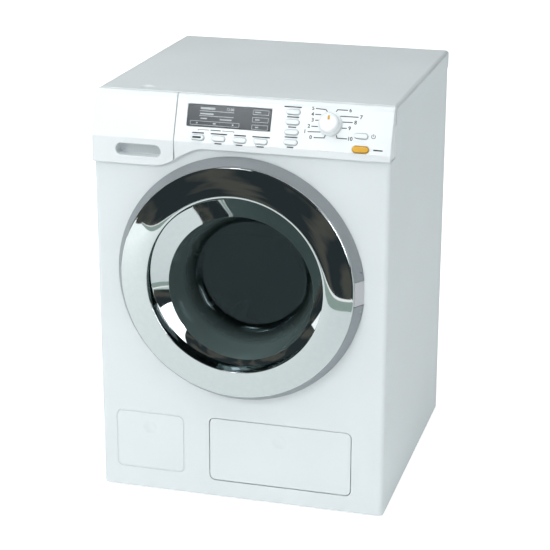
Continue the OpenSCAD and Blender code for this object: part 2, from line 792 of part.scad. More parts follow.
module option_key_1() { color("#eef1f1") key(keys_row[0][0], keys_row[0][1], key_w, key_h); }
module option_key_2() { color("#eef1f1") key(keys_row[1][0], keys_row[1][1], key_w, key_h); }
module option_key_3() { color("#eef1f1") key(keys_row[2][0], keys_row[2][1], key_w, key_h); }
module option_key_4() { color("#eef1f1") key(keys_row[3][0], keys_row[3][1], key_w, key_h); }
module select_key_1() { color("#eef1f1") key(keys_col[0][0], keys_col[0][1], key_w, key_h); }
module select_key_2() { color("#eef1f1") key(keys_col[1][0], keys_col[1][1], key_w, key_h); }
module select_key_3() { color("#eef1f1") key(keys_col[2][0], keys_col[2][1], key_w, key_h); }
module select_key_4() { color("#eef1f1") key(keys_col[3][0], keys_col[3][1], key_w, key_h); }
module power_key() { color("#eef1f1") key(power_x, power_v, key_w, key_h); }
module door_key() { color("#efc010") key(door_key_x, door_key_v, door_key_w, door_key_h); }

module knob_switch() {
    color("#3a3d40") on_panel(knob_x, knob_v) difference() {
        union() {
            panel_slab(panel_t + 0.6, board_y - panel_t - 0.62) square([13, 12], center = true);
            panel_slab(panel_t + 0.05, 1) circle(spindle_r + 2.4);
        }
        panel_slab(-1, board_y - 1) circle(spindle_r + run_gap);
    }
}

module knob_spindle() {
    color("#b9bcc0") on_panel(knob_x, knob_v)
        panel_slab(-knob_h + 2.6, knob_h - 2.6 + board_y - 3) circle(spindle_r);
}

module program_knob() {
    color("#f0f2f2") on_panel(knob_x, knob_v) rotate([90, 0, 0]) difference() {
        rotate_extrude() polygon([[0, 0.4], [knob_r, 0.4], [knob_r, 1], [knob_face_r + 1, 2],
            [knob_face_r + 0.5, knob_h - 0.8], [knob_face_r - 0.4, knob_h], [0, knob_h]]);
        translate([0, 0, -1]) cylinder(r = spindle_r + press_gap, h = knob_h - 1.6);
        translate([-0.65, knob_face_r - 3.4, knob_h - 0.6]) cube([1.3, 2.5, 2]);
    }
}

module knob_pointer() {
    color("#efc010") on_panel(knob_x, knob_v) rotate([90, 0, 0])
        translate([-0.6, knob_face_r - 3.35, knob_h - 0.58]) cube([1.2, 2.4, 0.7]);
}

// ---------- drawer ----------
module drawer_front() {
    color("#f6f8f8") {
        difference() {
            panel_shell(drawer_x0, drawer_x1, panel_t, end_t);
            behind(-panel_proud - 1, panel_t + 2) translate([recess_x, recess_z]) pill(recess_w, recess_h);
        }
        behind(-panel_proud, recess_d + tray_wall) translate([recess_x, recess_z]) difference() {
            pill(recess_w + 2 * tray_wall, recess_h + 2 * tray_wall);
            pill(recess_w, recess_h);
        }
        behind(-panel_proud + recess_d, tray_wall) translate([recess_x, recess_z])
            pill(recess_w + tray_wall, recess_h + tray_wall);
    }
}

module drawer_tray() {
    w = tray_x1 - tray_x0;
    split = [w * 0.36, w * 0.68];
    color("#eceff0") {
        difference() {
            translate([tray_x0, front_y + tray_in, tray_z]) cube([w, tray_l, tray_h]);
            translate([tray_x0 + tray_wall, front_y + tray_in + tray_wall, tray_z + tray_wall])
                cube([w - 2 * tray_wall, tray_l - 2 * tray_wall, tray_h]);
        }
        for (s = split) translate([tray_x0 + s, front_y + tray_in + tray_wall - eps, tray_z + tray_wall - eps])
            cube([tray_wall, tray_l - 2 * tray_wall + 2 * eps, tray_h - 4]);
        // peg that stops the drawer at the end of its travel
        translate([(tray_x0 + tray_x1 - stop_w) / 2, front_y + stop_in, tray_z - drawer_gap - 1.2])
            cube([stop_w, stop_l, drawer_gap + 1.2 + tray_wall / 2]);
    }
}

module drawer_runner() {
    x0 = tray_x0 - drawer_gap - tray_wall;
    x1 = tray_x1 + drawer_gap + tray_wall;
    h = tray_h - 4;
    color("#d4d8d8") {
        difference() {
            translate([x0, front_y + wall + 0.2, runner_z]) cube([x1 - x0, runner_l - wall, h]);
            translate([x0 + tray_wall, front_y, runner_z + tray_wall])
                cube([x1 - x0 - 2 * tray_wall, runner_l + 1 - tray_wall, h]);
            // slot that the stop peg runs in
            translate([(x0 + x1 - stop_w) / 2 - drawer_gap, front_y + stop_in - drawer_travel - drawer_gap,
                runner_z - 1])
                cube([stop_w + 2 * drawer_gap, drawer_travel + stop_l + 2 * drawer_gap, tray_wall + 2]);
        }
        // lugs on the side wall of the cabinet
        for (y = [14, runner_l - 16]) translate([-inner_x, front_y + y, runner_z + 4])
            cube([x0 + inner_x + eps, 8, 6]);
    }
}

// ---------- service flap ----------
module service_flap() {
    k = (dimple_r * dimple_r + dimple_d * dimple_d) / (2 * dimple_d);
    color("#eef1f2") difference() {
        union() {
            behind(0, flap_t) translate([flap_x, flap_z + flap_h / 2]) rounded(flap_w, flap_h, flap_r);
            translate([flap_x, front_y + flap_axis_in, flap_axis_z]) rotate([0, 90, 0])
                cylinder(r = stub_r, h = flap_w + 2 * stub_l, center = true);
            // stiffening rim and finger catch behind the plate
            for (s = [-1, 1])
                translate([flap_x + s * (flap_w / 2 - 8) - 0.8, front_y + flap_t - eps, flap_axis_z])
                    cube([1.6, 2, flap_h - 11]);
            translate([flap_x - 10, front_y + flap_t - eps, flap_z + flap_h - 4]) cube([20, 2.6, 1.6]);
        }
        translate([flap_x, front_y - k + dimple_d, flap_z + flap_h - 11]) sphere(k, $fn = 96);
    }
}

module flap_compartment() {
    color("#d9dddd") difference() {
        union() {
            translate([bay_x0, front_y + wall + 3.8, bay_z0])
                cube([bay_x1 - bay_x0, flap_depth, bay_z1 - bay_z0]);
            // ears on the back of the front wall
            for (x = [bay_x0 - 6, bay_x1]) translate([x, front_y + wall, bay_z1 - 8]) cube([6 + eps, 5.8, 8]);
            translate([bay_x0, front_y + wall, bay_z1 - bay_wall]) cube([bay_x1 - bay_x0, 4, bay_wall]);
        }
        translate([bay_x0 + bay_wall, front_y, bay_z0 + bay_wall])
            cube([bay_x1 - bay_x0 - 2 * bay_wall, wall + 3.8 + flap_depth - bay_wall,
                bay_z1 - bay_z0 - 2 * bay_wall]);
        bay_screw_places() cylinder(r = screw_r, h = 3 * 5.8, center = true);
    }
}

module bay_screw_places() {
    for (x = [bay_x0 - 3, bay_x1 + 3]) translate([x, front_y + wall + 5.8, bay_z1 - 4])
        rotate([-90, 0, 0]) children();
}

// ---------- porthole, tub and drum ----------
module door_seal() {
    color("#a9adb0") turned(glass_z) difference() {
        translate([seal_r, 0.4]) square([port_r - 0.02 - seal_r, tub_in - 0.42]);
        translate([port_r - 0.8, wall + 0.1]) square([2, tub_in]);
    }
}

module tub() {
    color("#c3c9cc") difference() {
        union() {
            turned(glass_z) difference() {
                translate([0, tub_in]) square([tub_r, tub_back - tub_in]);
                translate([0, tub_in + tub_wall]) square([tub_r - tub_wall, tub_back - tub_in - 2 * tub_wall]);
                translate([0, -1]) square([seal_r, tub_in + tub_wall + 1.5]);
            }
            turned(glass_z) translate([0, tub_back - tub_wall]) square([bush_r + 3, tub_wall + 1.4]);
        }
        translate([0, front_y + tub_back - 10, glass_z]) rotate([-90, 0, 0])
            cylinder(r = bush_r + press_gap, h = 30);
        tub_screw_holes();
        for (p = post_places()) translate([p[0], front_y + tub_back - tub_wall - 1, p[1]])
            rotate([-90, 0, 0]) cylinder(r = screw_r, h = tub_wall + 2);
    }
}

module tub_screw_holes() {
    for (a = [45, 135, 225, 315]) translate([0, front_y + tub_in - 1, glass_z]) rotate([0, a, 0])
        translate([tub_post_at, 0, 0]) rotate([-90, 0, 0]) cylinder(r = screw_r, h = tub_wall + 2);
}

// a round-head screw of the inner mouldings, its head's underside at z = 0 and its head towards +z
module inner_screw(grip) {
    translate([0, 0, press_gap]) cylinder(r = 2 * screw_r - 0.4, h = 0.7);
    translate([0, 0, -grip]) cylinder(r = screw_r - press_gap, h = grip + 0.1);
}

module inner_screws() {
    color("#8a8f93") {
        for (a = [45, 135, 225, 315]) translate([0, front_y + tub_in + tub_wall, glass_z]) rotate([0, a, 0])
            translate([tub_post_at, 0, 0]) rotate([-90, 0, 0]) inner_screw(tub_wall + 7);
        for (p = post_places()) translate([p[0], front_y + tub_back - tub_wall, p[1]])
            rotate([90, 0, 0]) inner_screw(tub_wall + 8);
        bay_screw_places() inner_screw(5.7);
    }
}

function post_places() = [for (s = [-1, 1], z = [post_low, post_top]) [s * post_x, z]];

module drum_bush() {
    color("#b08d4f") turned(glass_z) difference() {
        union() {
            translate([0, tub_back - tub_wall - 1.5]) square([bush_r, tub_wall + 2.8]);
            translate([0, tub_back - tub_wall - 1.5]) square([bush_r + 1.4, 1.45]);
        }
        translate([0, 0]) square([shaft_r + run_gap, tub_back + 10]);
    }
}

module drum() {
    hub_r = shaft_r + 3;
    front = drum_in + drum_wall;
    color("#b8c0c6") difference() {
        union() {
            turned(glass_z) difference() {
                translate([0, front]) square([drum_r, drum_l - drum_wall]);
                translate([0, front - 1]) square([drum_r - drum_wall, drum_l - 2 * drum_wall + 1]);
            }
            turned(glass_z) translate([0, drum_back - 6]) square([hub_r, 7.5]);
            // pressed star in the back of the drum
            for (i = [0:paddles - 1]) translate([0, front_y + drum_back - drum_wall - 1.2, glass_z])
                rotate([0, 360 / paddles * (i + 0.5), 0]) translate([hub_r - 1, 0, -3])
                    cube([drum_r - hub_r - 14, 1.4, 6]);
        }
        drum_holes();
        translate([0, front_y + drum_in, glass_z]) rotate([-90, 0, 0])
            cylinder(r = shaft_r + press_gap, h = drum_l + 20);
    }
}

// front ring of the drum, its lip turned inwards round the mouth
module drum_mouth() {
    color("#b8c0c6") turned(glass_z) {
        translate([mouth_r, drum_in]) square([drum_r - mouth_r, drum_wall]);
        translate([mouth_r, drum_in + drum_wall - eps]) square([drum_wall, 1.4]);
    }
}

module drum_holes() {
    step = 360 / (paddles * (hole_cols + 1));
    pitch = (drum_l - 16) / hole_rows;
    for (p = [0:paddles - 1], c = [1:hole_cols], k = [0:hole_rows - 1])
        translate([0, front_y + drum_in + 8 + pitch * (k + (c % 2 == 0 ? 0.75 : 0.25)), glass_z])
            rotate([0, -360 / paddles * p - step * c, 0])
                translate([drum_r - drum_wall - 2, 0, 0]) rotate([0, 90, 0])
                    cylinder(r = hole_r, h = drum_wall + 4, $fn = 24);
}

module drum_paddles() {
    ri = drum_r - drum_wall - 0.05;
    top_w = paddle_w * 0.42;
    color("#c9cfd3") for (i = [0:paddles - 1]) translate([0, front_y + drum_in + 5, glass_z])
        rotate([0, -360 / paddles * i, 0]) intersection() {
            translate([0, 0, 0]) rotate([-90, 0, 0]) cylinder(r = ri, h = drum_l - 10, $fn = 96);
            translate([ri - paddle_h, 0, 0]) difference() {
                rotate([-90, 0, 0]) linear_extrude(drum_l - 10) union() {
                    polygon([[top_w / 2, -top_w / 2], [paddle_h + 2, -paddle_w / 2],
                        [paddle_h + 2, paddle_w / 2], [top_w / 2, top_w / 2]]);
                    translate([top_w / 2, 0]) circle(top_w / 2);
                }
                // chamfered front end
                translate([-2, -1, -paddle_w]) rotate([0, 0, -40]) cube([20, 12, 2 * paddle_w], center = false);
            }
        }
}

module drum_shaft() {
    color("#b9bcc0") translate([0, front_y + drum_back - 6, glass_z]) rotate([-90, 0, 0])
        cylinder(r = shaft_r, h = box_in + box_t + 1 - drum_back + 6);
}

// ---------- gears ----------
// involute angle at radius r of a base circle rb
function inv_angle(r, rb) = let (a = acos(min(1, rb / r))) tan(a) * 180 / PI - a;
// half tooth angle at radius r
function half_tooth(r, teeth, m, rb) = let (rp = m * teeth / 2)
    90 / teeth - backlash / 2 / rp * 180 / PI + inv_angle(rp, rb) - inv_angle(max(r, rb), rb);

module gear_outline(teeth, m) {
    pressure = 25;
    rp = m * teeth / 2;
    rb = rp * cos(pressure);
    tip = rp + 0.8 * m;
    root = rp - 1.05 * m;
    foot = max(root, rb);
    flank = [for (k = [0:2]) foot + (tip - foot) * k / 2];
    radii = concat(root < rb ? [root] : [], flank);
    n = len(radii);
    polygon([for (i = [0:teeth - 1], side = [-1, 1], k = [0:n - 1])
        let (r = radii[side < 0 ? k : n - 1 - k], a = 360 / teeth * i + side * half_tooth(r, teeth, m, rb))
            [r * cos(a), r * sin(a)]]);
}

// a gear standing behind the tub at height z, turned by a start angle
module gear(z, depth, width, teeth, start) {
    translate([0, front_y + depth, z]) rotate([-90, 0, 0]) rotate(start) linear_extrude(width)
        gear_outline(teeth, gear_m);
}

// start angles that put a tooth of one gear in a gap of the other, on the line below the axis
drum_start = 90;
idler_start = -90 + 180 / idler_teeth;
wheel_start = 90;
motor_start = -90 + 180 / motor_teeth;

module drum_gear() {
    color("#e8e4d6") difference() {
        union() {
            gear(glass_z, gear_in, gear_w, drum_teeth, drum_start);
            turned(glass_z) translate([0, gear_in]) square([shaft_r + 3, gear_w + 1.2]);
        }
        translate([0, front_y + gear_in - 1, glass_z]) rotate([-90, 0, 0])
            cylinder(r = shaft_r + press_gap, h = gear_w + 4);
        // lightening holes
        for (a = [0:60:300]) translate([0, front_y + gear_in - 1, glass_z]) rotate([0, a, 0])
            translate([drum_gear_r * 0.58, 0, 0]) rotate([-90, 0, 0])
                cylinder(r = drum_gear_r * 0.19, h = gear_w + 2);
    }
}

module idler_gear() {
    color("#d7dfe6") difference() {
        union() {
            gear(idler_z, gear_in, wheel_in - gear_in + eps, idler_teeth, idler_start);
            gear(idler_z, wheel_in, gear_w, wheel_teeth, wheel_start);
        }
        translate([0, front_y + gear_in - 1, idler_z]) rotate([-90, 0, 0])
            cylinder(r = idler_pin_r + run_gap, h = wheel_in - gear_in + gear_w + 2);
    }
}

module idler_pin() {
    color("#b9bcc0") translate([0, front_y + tub_back + 0.1, idler_z]) rotate([-90, 0, 0])
        cylinder(r = idler_pin_r, h = box_in + box_t - tub_back - 0.1);
}

module motor_pinion() {
    color("#c9a24a") difference() {
        gear(motor_z, wheel_in, gear_w + 0.5, motor_teeth, motor_start);
        translate([0, front_y + wheel_in - 1, motor_z]) rotate([-90, 0, 0])
            cylinder(r = motor_shaft_r + press_gap, h = gear_w + 3);
    }
}

module motor_shaft() {
    color("#b9bcc0") translate([0, front_y + wheel_in - 0.5, motor_z]) rotate([-90, 0, 0])
        cylinder(r = motor_shaft_r, h = box_in + box_t + 4 - wheel_in);
}

module motor() {
    color("#9aa0a5") difference() {
        union() {
            translate([0, front_y + box_in + box_t, motor_z]) rotate([-90, 0, 0]) intersection() {
                cylinder(r = motor_r, h = motor_l);
                translate([-motor_r, -motor_r * 0.75, 0]) cube([2 * motor_r, 1.5 * motor_r, motor_l]);
            }
            translate([0, front_y + box_in + 1, motor_z]) rotate([-90, 0, 0])
                cylinder(r = motor_boss_r, h = box_t);
            for (s = [-1, 1]) translate([s * 5 - 1.2, front_y + box_in + box_t + motor_l - eps, motor_z - 0.3])
                cube([2.4, 4, 0.6]);
        }
        translate([0, front_y + box_in, motor_z]) rotate([-90, 0, 0])
            cylinder(r = motor_shaft_r + run_gap, h = box_t + 6);
    }
}

module plate_bore(z, r) {
    translate([0, front_y + box_in - 1, z]) rotate([-90, 0, 0]) cylinder(r = r, h = box_t + 2);
}

module gearbox_plate() {
    margin = 2 * post_r + 2;
    h = post_top - motor_z + 3 * margin;
    color("#d4d8d8") difference() {
        union() {
            behind(box_in, box_t) translate([0, post_top + margin - h / 2])
                rounded(2 * (post_x + 2 * post_r), h, 2 * post_r);
            for (p = post_places()) translate([p[0], front_y + tub_back, p[1]])
                rotate([-90, 0, 0]) cylinder(r = post_r, h = box_in - tub_back + eps);
        }
        plate_bore(glass_z, shaft_r + run_gap);
        plate_bore(idler_z, idler_pin_r + press_gap);
        plate_bore(motor_z, motor_boss_r + 0.1);
        for (p = post_places()) translate([p[0], front_y + tub_back - 1, p[1]]) rotate([-90, 0, 0])
            cylinder(r = screw_r, h = box_in - tub_back);
    }
}

// ---------- door ----------
module door_frame() {
    t = 2.2;
    color("#9ba0a5") {
        difference() {
            union() {
                turned(door_z) polygon([[door_r, -door_gap], [lip_r + 0.35, -ring_back],
                    [lip_r - t - 1, -ring_back], [lip_r - t - 1, -ring_back + 1.2],
                    [door_r - t - 0.4, -door_gap - plate_t], [door_r - t - 0.4, -door_gap]]);
                turned(door_z) translate([0, -door_gap - plate_t]) square([door_r - t, plate_t]);
                translate([0, front_y - door_gap - 0.1, glass_z]) rotate([-90, 0, 0])
                    cylinder(r = collar_r + collar_t, h = collar_in + door_gap + 0.1, $fn = 96);
            }
            translate([0, front_y - 20, glass_z]) rotate([-90, 0, 0]) cylinder(r = collar_r, h = 60, $fn = 96);
            // notch for the knuckle and the holes for the pin
            translate([hinge_x - 6.8, front_y - ring_back - 1, door_z - notch_h / 2])
                cube([20, ring_back + 2, notch_h]);
            translate([hinge_x, hinge_y, door_z]) cylinder(r = pin_r + run_gap, h = pin_l + 1, center = true);
        }
        // posts that hold the chrome ring stand on the frame's flange
        for (a = [20:40:340]) translate([0, front_y - door_gap - plate_t, door_z]) rotate([0, a, 0])
            translate([lip_r - 8, 0, 0]) rotate([90, 0, 0])
                cylinder(r = 1.6,
                    h = -ring_face(7.9 / (lip_r - crest_r)) - door_wall - 0.35 - door_gap - plate_t);
    }
}

// depth of the chrome ring's face, from its outer edge at 0 to the crest at 1
function ring_face(t) = -lip_out - 0.6 - (door_proud - lip_out - 0.6) * sin(90 * t);

// section of the chrome ring from its rounded outer edge up to the crest
module chrome_ring() {
    run = lip_r - 1 - crest_r;
    color("#d8dcde") turned(door_z) polygon(concat(
        [for (a = [0:30:60]) [lip_r - 1 + cos(a), -lip_out + 0.4 - sin(a)]],
        [for (k = [0:6]) [lip_r - 1 - run * k / 6, ring_face(k / 6)]],
        [for (k = [6:-1:0]) [lip_r - 1 - run * k / 6, ring_face(k / 6) + door_wall]],
        [[lip_r, -lip_out + 0.6]]));
}

// the dish narrows from the crest to the bowl, whose axis lies lower
module dish_solid(grow, front, back) {
    hull() {
        translate([0, front_y + front, door_z]) rotate([-90, 0, 0])
            cylinder(r = crest_r + grow, h = eps, $fn = 96);
        translate([0, front_y + back, glass_z]) rotate([-90, 0, 0])
            cylinder(r = glass_r + grow, h = eps, $fn = 96);
    }
}

module chrome_dish() {
    color("#d8dcde") difference() {
        dish_solid(door_wall, -door_proud + door_wall + 0.05, glass_in);
        dish_solid(0, -door_proud + door_wall + 0.04, glass_in + 0.02);
    }
}

module door_bowl() {
    rim = glass_in + 0.05;
    floor_d = glass_in + bowl_depth;
    n = 8;
    color([0.25, 0.3, 0.34, 0.5]) turned(glass_z) polygon(concat(
        [[collar_r - 0.1, rim], [glass_r - bowl_wall, rim]],
        [for (k = [1:n]) let (a = 90 * k / n)
            [bowl_floor_r - bowl_wall + (glass_r - bowl_floor_r) * cos(a),
                rim + (floor_d - bowl_wall - rim) * sin(a)]],
        [[0, floor_d - bowl_wall], [0, floor_d]],
        [for (k = [n:-1:0]) let (a = 90 * k / n)
            [bowl_floor_r + (glass_r - bowl_floor_r) * cos(a), rim + 1.6 + (floor_d - rim - 1.6) * sin(a)]],
        [[collar_r - 0.1, rim + 1.6]]));
}

module bowl_retainer() {
    color("#b9bfc3") turned(glass_z) difference() {
        translate([glass_r + 0.5, glass_in + 1.7]) square([collar_r - glass_r - 0.55, 2]);
        translate([glass_r + 1.6, glass_in + 2.7]) square([0.8, 2]);
    }
}

module door_hook() {
    color("#9ba0a5") {
        translate([hook_x - 1, front_y - door_gap + 0.02, door_z - hook_w / 2])
            cube([2, hook_in + door_gap, hook_w]);
        translate([hook_x - 2, front_y + hook_in - 2, door_z - hook_w / 2]) cube([1.01, 2, hook_w]);
    }
}

module latch_catch() {
    color("#d4d8d8") translate([hook_x, front_y + wall, door_z]) {
        difference() {
            translate([-7, 0, -hook_w / 2 - 3.5]) cube([11, 9.5, hook_w + 7]);
            translate([-4, -1, -hook_w / 2 - 1]) cube([6.5, 9, hook_w + 2]);
        }
        translate([-4.01, 1.5, -hook_w / 2 - 1]) cube([1.4, 2, hook_w + 2]);
    }
}

module hinge_knuckle() {
    color("#d3d7d9") difference() {
        translate([0, 0, door_z - knuckle_h / 2]) linear_extrude(knuckle_h) polygon([
            [hinge_x - 4.8, front_y], [hinge_x + 2.3, front_y], [hinge_x - 1.7, front_y - ring_back + 0.5],
            [hinge_x - 3.8, front_y - ring_back + 0.5]]);
        translate([hinge_x, hinge_y, door_z]) cylinder(r = pin_r + press_gap, h = knuckle_h + 2, center = true);
    }
}

module hinge_pin() {
    color("#b9bcc0") translate([hinge_x, hinge_y, door_z]) cylinder(r = pin_r, h = pin_l, center = true);
}

cabinet_shell();
top_cover();
base_plate();
feet();
back_panel();
battery_cover();
battery_box();
battery_cells();
battery_contacts();
control_panel();
display_window();
circuit_board();
key_mat();
knob_switch();
drawer_runner();
flap_compartment();
door_seal();
tub();
drum_bush();
motor();
gearbox_plate();
idler_pin();
hinge_knuckle();
hinge_pin();
latch_catch();
speaker();
back_screws();
inner_screws();
door_frame();
chrome_ring();
chrome_dish();
door_bowl();
bowl_retainer();
door_hook();
drum();
drum_mouth();
drum_paddles();
drum_shaft();
drum_gear();
idler_gear();
motor_pinion();
motor_shaft();
drawer_front();
drawer_tray();
service_flap();
program_knob();
knob_pointer();
knob_spindle();
option_key_1();
option_key_2();
option_key_3();
option_key_4();
select_key_1();
select_key_2();
select_key_3();
select_key_4();
power_key();
door_key();
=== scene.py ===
import bpy
import math
from mathutils import Matrix, Vector


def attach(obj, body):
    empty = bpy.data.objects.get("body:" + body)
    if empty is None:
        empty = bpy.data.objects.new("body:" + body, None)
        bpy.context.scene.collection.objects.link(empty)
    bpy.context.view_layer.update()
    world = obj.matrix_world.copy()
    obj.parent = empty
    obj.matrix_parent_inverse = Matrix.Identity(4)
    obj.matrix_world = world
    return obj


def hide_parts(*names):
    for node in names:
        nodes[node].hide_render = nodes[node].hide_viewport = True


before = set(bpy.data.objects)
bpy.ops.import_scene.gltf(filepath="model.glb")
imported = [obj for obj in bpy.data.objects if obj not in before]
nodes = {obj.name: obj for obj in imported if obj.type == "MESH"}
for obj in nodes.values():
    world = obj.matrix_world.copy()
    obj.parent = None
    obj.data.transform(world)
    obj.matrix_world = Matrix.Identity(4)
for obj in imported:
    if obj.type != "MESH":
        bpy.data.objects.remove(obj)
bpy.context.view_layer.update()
mm = 0.001


# ---------------------------------------------------------------- camera
# A long lens about a metre off the front, a little to the right of the machine and above it,
# so the front, the right side and the top all show.
eye = Vector((288.03, -1034.52, 491.77)) * mm
turn, tilt, roll = math.radians(15.37), math.radians(19.07), math.radians(0.188)
frame_width = 550
focal_pixels = 1730.3
centre_x, centre_y = 281.93, 279.97

cam = bpy.data.objects.new("camera", bpy.data.cameras.new("camera"))
bpy.context.scene.collection.objects.link(cam)
bpy.context.scene.camera = cam
back = Vector((math.sin(turn) * math.cos(tilt), -math.cos(turn) * math.cos(tilt), math.sin(tilt)))
level = Vector((math.cos(turn), math.sin(turn), 0))
upward = back.cross(level)
right = level * math.cos(roll) + upward * math.sin(roll)
upward = back.cross(right)
cam.matrix_world = Matrix.Translation(eye) @ Matrix((right, upward, back)).transposed().to_4x4()
cam.data.sensor_width = 36
cam.data.lens = focal_pixels / frame_width * cam.data.sensor_width
cam.data.shift_x = (frame_width / 2 - centre_x) / frame_width
cam.data.shift_y = (centre_y - frame_width / 2) / frame_width
cam.data.clip_end = 20
bpy.context.scene.view_settings.view_transform = "Standard"


# ---------------------------------------------------------------- studio
# A pale matt floor and a white backdrop, under soft light from above, from the front and from the right.
# Bright metal mirrors a table top whose front edge runs askew, with a turned-up paper lip, and beyond it
# a dark room with two windows.
def linear(code):
    """An sRGB hex colour as linear red, green, blue and alpha."""
    parts = [int(code[i:i + 2], 16) / 255 for i in (1, 3, 5)]
    return [c / 12.92 if c <= 0.04045 else ((c + 0.055) / 1.055) ** 2.4 for c in parts] + [1]


def add(material, kind, inputs, **settings):
    """Adds a shader node with its settings, and sets or links its inputs."""
    made = material.node_tree.nodes.new("ShaderNode" + kind)
    for name, value in settings.items():
        setattr(made, name, value)
    for name, value in inputs.items():
        if isinstance(value, bpy.types.NodeSocket):
            material.node_tree.links.new(value, made.inputs[name])
        else:
            made.inputs[name].default_value = value
    return made


def new_material(name):
    """An empty node material, with its output ready to be linked."""
    made = bpy.data.materials.new(name)
    made.use_nodes = True
    made.node_tree.nodes.clear()
    return made


def output(material, shader):
    """Links a shader to the material's output."""
    add(material, "OutputMaterial", {"Surface": shader.outputs[0]})
    return material


def toned(code, share):
    """An sRGB hex colour made darker or lighter by a share, as linear red, green, blue and alpha."""
    return [min(1, c * share) for c in linear(code)[:3]] + [1]


def blend(material, factor, first, second, start=0.0, end=1.0):
    """A colour that runs from the first to the second while the factor goes from start to end."""
    ramp = add(material, "ValToRGB", {"Fac": factor})
    for stop, place, colour in zip(ramp.color_ramp.elements, (start, end), (first, second)):
        stop.position = place
        stop.color = colour
    return ramp.outputs[0]


def between(material, factor, low, high):
    """A value that runs from low to high while the factor goes from 0 to 1."""
    return add(material, "MapRange", {"Value": factor, "To Min": low, "To Max": high}).outputs[0]


def shine(material, colour, strength):
    """Ends a material that gives light and takes none."""
    return output(material, add(material, "Emission", {"Color": colour, "Strength": strength}))


def staged(name, material, seen_by_camera):
    """The active object as a part of the studio, seen by the camera or mirrored by bright metal."""
    prop = bpy.context.object
    prop.name = name
    prop.data.materials.append(material)
    if seen_by_camera:
        prop.visible_glossy = False
    else:
        prop.visible_camera = False
        prop.visible_diffuse = False
        prop.visible_shadow = False
        prop.visible_transmission = False
    return prop


# matt white paper on the floor, a little mottled, bright enough to fade into the backdrop
paper = new_material("matt_white_paper")
mottle = add(paper, "TexNoise", {"Scale": 6.0, "Detail": 4.0})
floor_place = add(paper, "TexCoord", {})
from_middle = add(paper, "TexGradient", {"Vector": floor_place.outputs["Object"]},
                  gradient_type="SPHERICAL")
fade = between(paper, from_middle.outputs["Fac"], 0.75, 0.6)
# the camera sees all of its glow, and the machine gets a fifth of it
rays = add(paper, "LightPath", {})
seen = between(paper, rays.outputs["Is Camera Ray"], 0.2, 1.0)
paper_glow = add(paper, "Math", {0: fade, 1: seen}, operation="MULTIPLY")
output(paper, add(paper, "BsdfPrincipled", {
    "Base Color": linear("#fdfdfd"), "Roughness": between(paper, mottle.outputs["Fac"], 0.6, 0.8),
    "Emission Color": linear("#ffffff"), "Emission Strength": paper_glow.outputs[0]}))
bpy.ops.object.select_all(action="DESELECT")
bpy.ops.mesh.primitive_plane_add(size=12, location=(0, 0, 0))
staged("floor", paper, True)

# a white backdrop far behind the floor
backdrop_white = new_material("white_backdrop")
cloth = add(backdrop_white, "TexNoise", {"Scale": 0.5})
cloth_tone = blend(backdrop_white, cloth.outputs["Fac"], linear("#fdfefe"), linear("#ffffff"))
shine(backdrop_white, cloth_tone, 1.05)
bpy.ops.object.select_all(action="DESELECT")
bpy.ops.mesh.primitive_uv_sphere_add(segments=48, ring_count=24, radius=5.5, location=(0, 0, 0))
backdrop = staged("backdrop", backdrop_white, True)
backdrop.visible_diffuse = False
backdrop.visible_shadow = False
backdrop.visible_transmission = False

# the mirrored table shines a little less to the right; its front edge is turned-up paper
table_glow = new_material("mirrored_table")
table_place = add(table_glow, "TexCoord", {})
across = add(table_glow, "SeparateXYZ", {"Vector": table_place.outputs["Object"]})
fall = add(table_glow, "MapRange", {"Value": across.outputs["X"], "From Min": -0.9, "From Max": 0.6})
shine(table_glow, blend(table_glow, fall.outputs[0], linear("#f2f9f9"), linear("#b2bcbd")), 1.15)
lip_glow = shine(new_material("mirrored_paper_lip"), linear("#9fb3ab"), 0.8)
edge_glow = shine(new_material("mirrored_paper_edge"), linear("#f4f7f6"), 1.0)


def table_piece(name, height, cuts, rises, glows, levels):
    """A flat piece of the table, cut along lines, its last cut edge turned up in steps.
    A face whose top lies above a level takes the next glow."""
    bpy.ops.mesh.primitive_plane_add(size=5, location=(0, 0, height))
    bpy.ops.object.mode_set(mode="EDIT")
    for point, away in cuts:
        bpy.ops.mesh.select_all(action="SELECT")
        bpy.ops.mesh.bisect(plane_co=point, plane_no=away, clear_outer=True)
    for rise in rises:
        bpy.ops.mesh.extrude_region_move(TRANSFORM_OT_translate={"value": rise})
    bpy.ops.object.mode_set(mode="OBJECT")
    piece = staged(name, glows[0], False)
    for glow in glows[1:]:
        piece.data.materials.append(glow)
    for face in piece.data.polygons:
        top = max(piece.data.vertices[i].co.z for i in face.vertices)
        face.material_index = sum(top > level for level in levels)


# the main leaf ends askew, with a high lip
table_piece("table", 0.5 * mm, [((-0.056, -0.538, 0), (0.584, -0.812, 0))],
            [(0.003, -0.004, 0.024), (0.004, -0.006, 0.004)],
            [table_glow, lip_glow, edge_glow], [0.01, 0.0262])
# the second leaf, to the right, ends nearly square to the front, with a low lip
table_piece("table_leaf", 0.4 * mm, [((0.178, 0, 0), (-1, 0, 0)), ((0.178, -0.371, 0), (-0.084, -1, 0))],
            [(0, -0.003, 0.006)], [table_glow, lip_glow], [0.003])

# the dark room round the table, with folds of cloth and brown wood in it
room_cloth = new_material("dark_room")
folds = add(room_cloth, "TexWave", {"Scale": 1.4, "Distortion": 13.0, "Detail": 4.0, "Detail Scale": 1.4})
room_tone = blend(room_cloth, folds.outputs["Fac"], linear("#2e3639"), linear("#53544f"), 0.45)
shine(room_cloth, room_tone, 0.8)
bpy.ops.mesh.primitive_cylinder_add(vertices=64, radius=3, depth=4.6, end_fill_type="NGON",
                                    location=(0, 0, 1.1))
staged("room", room_cloth, False)


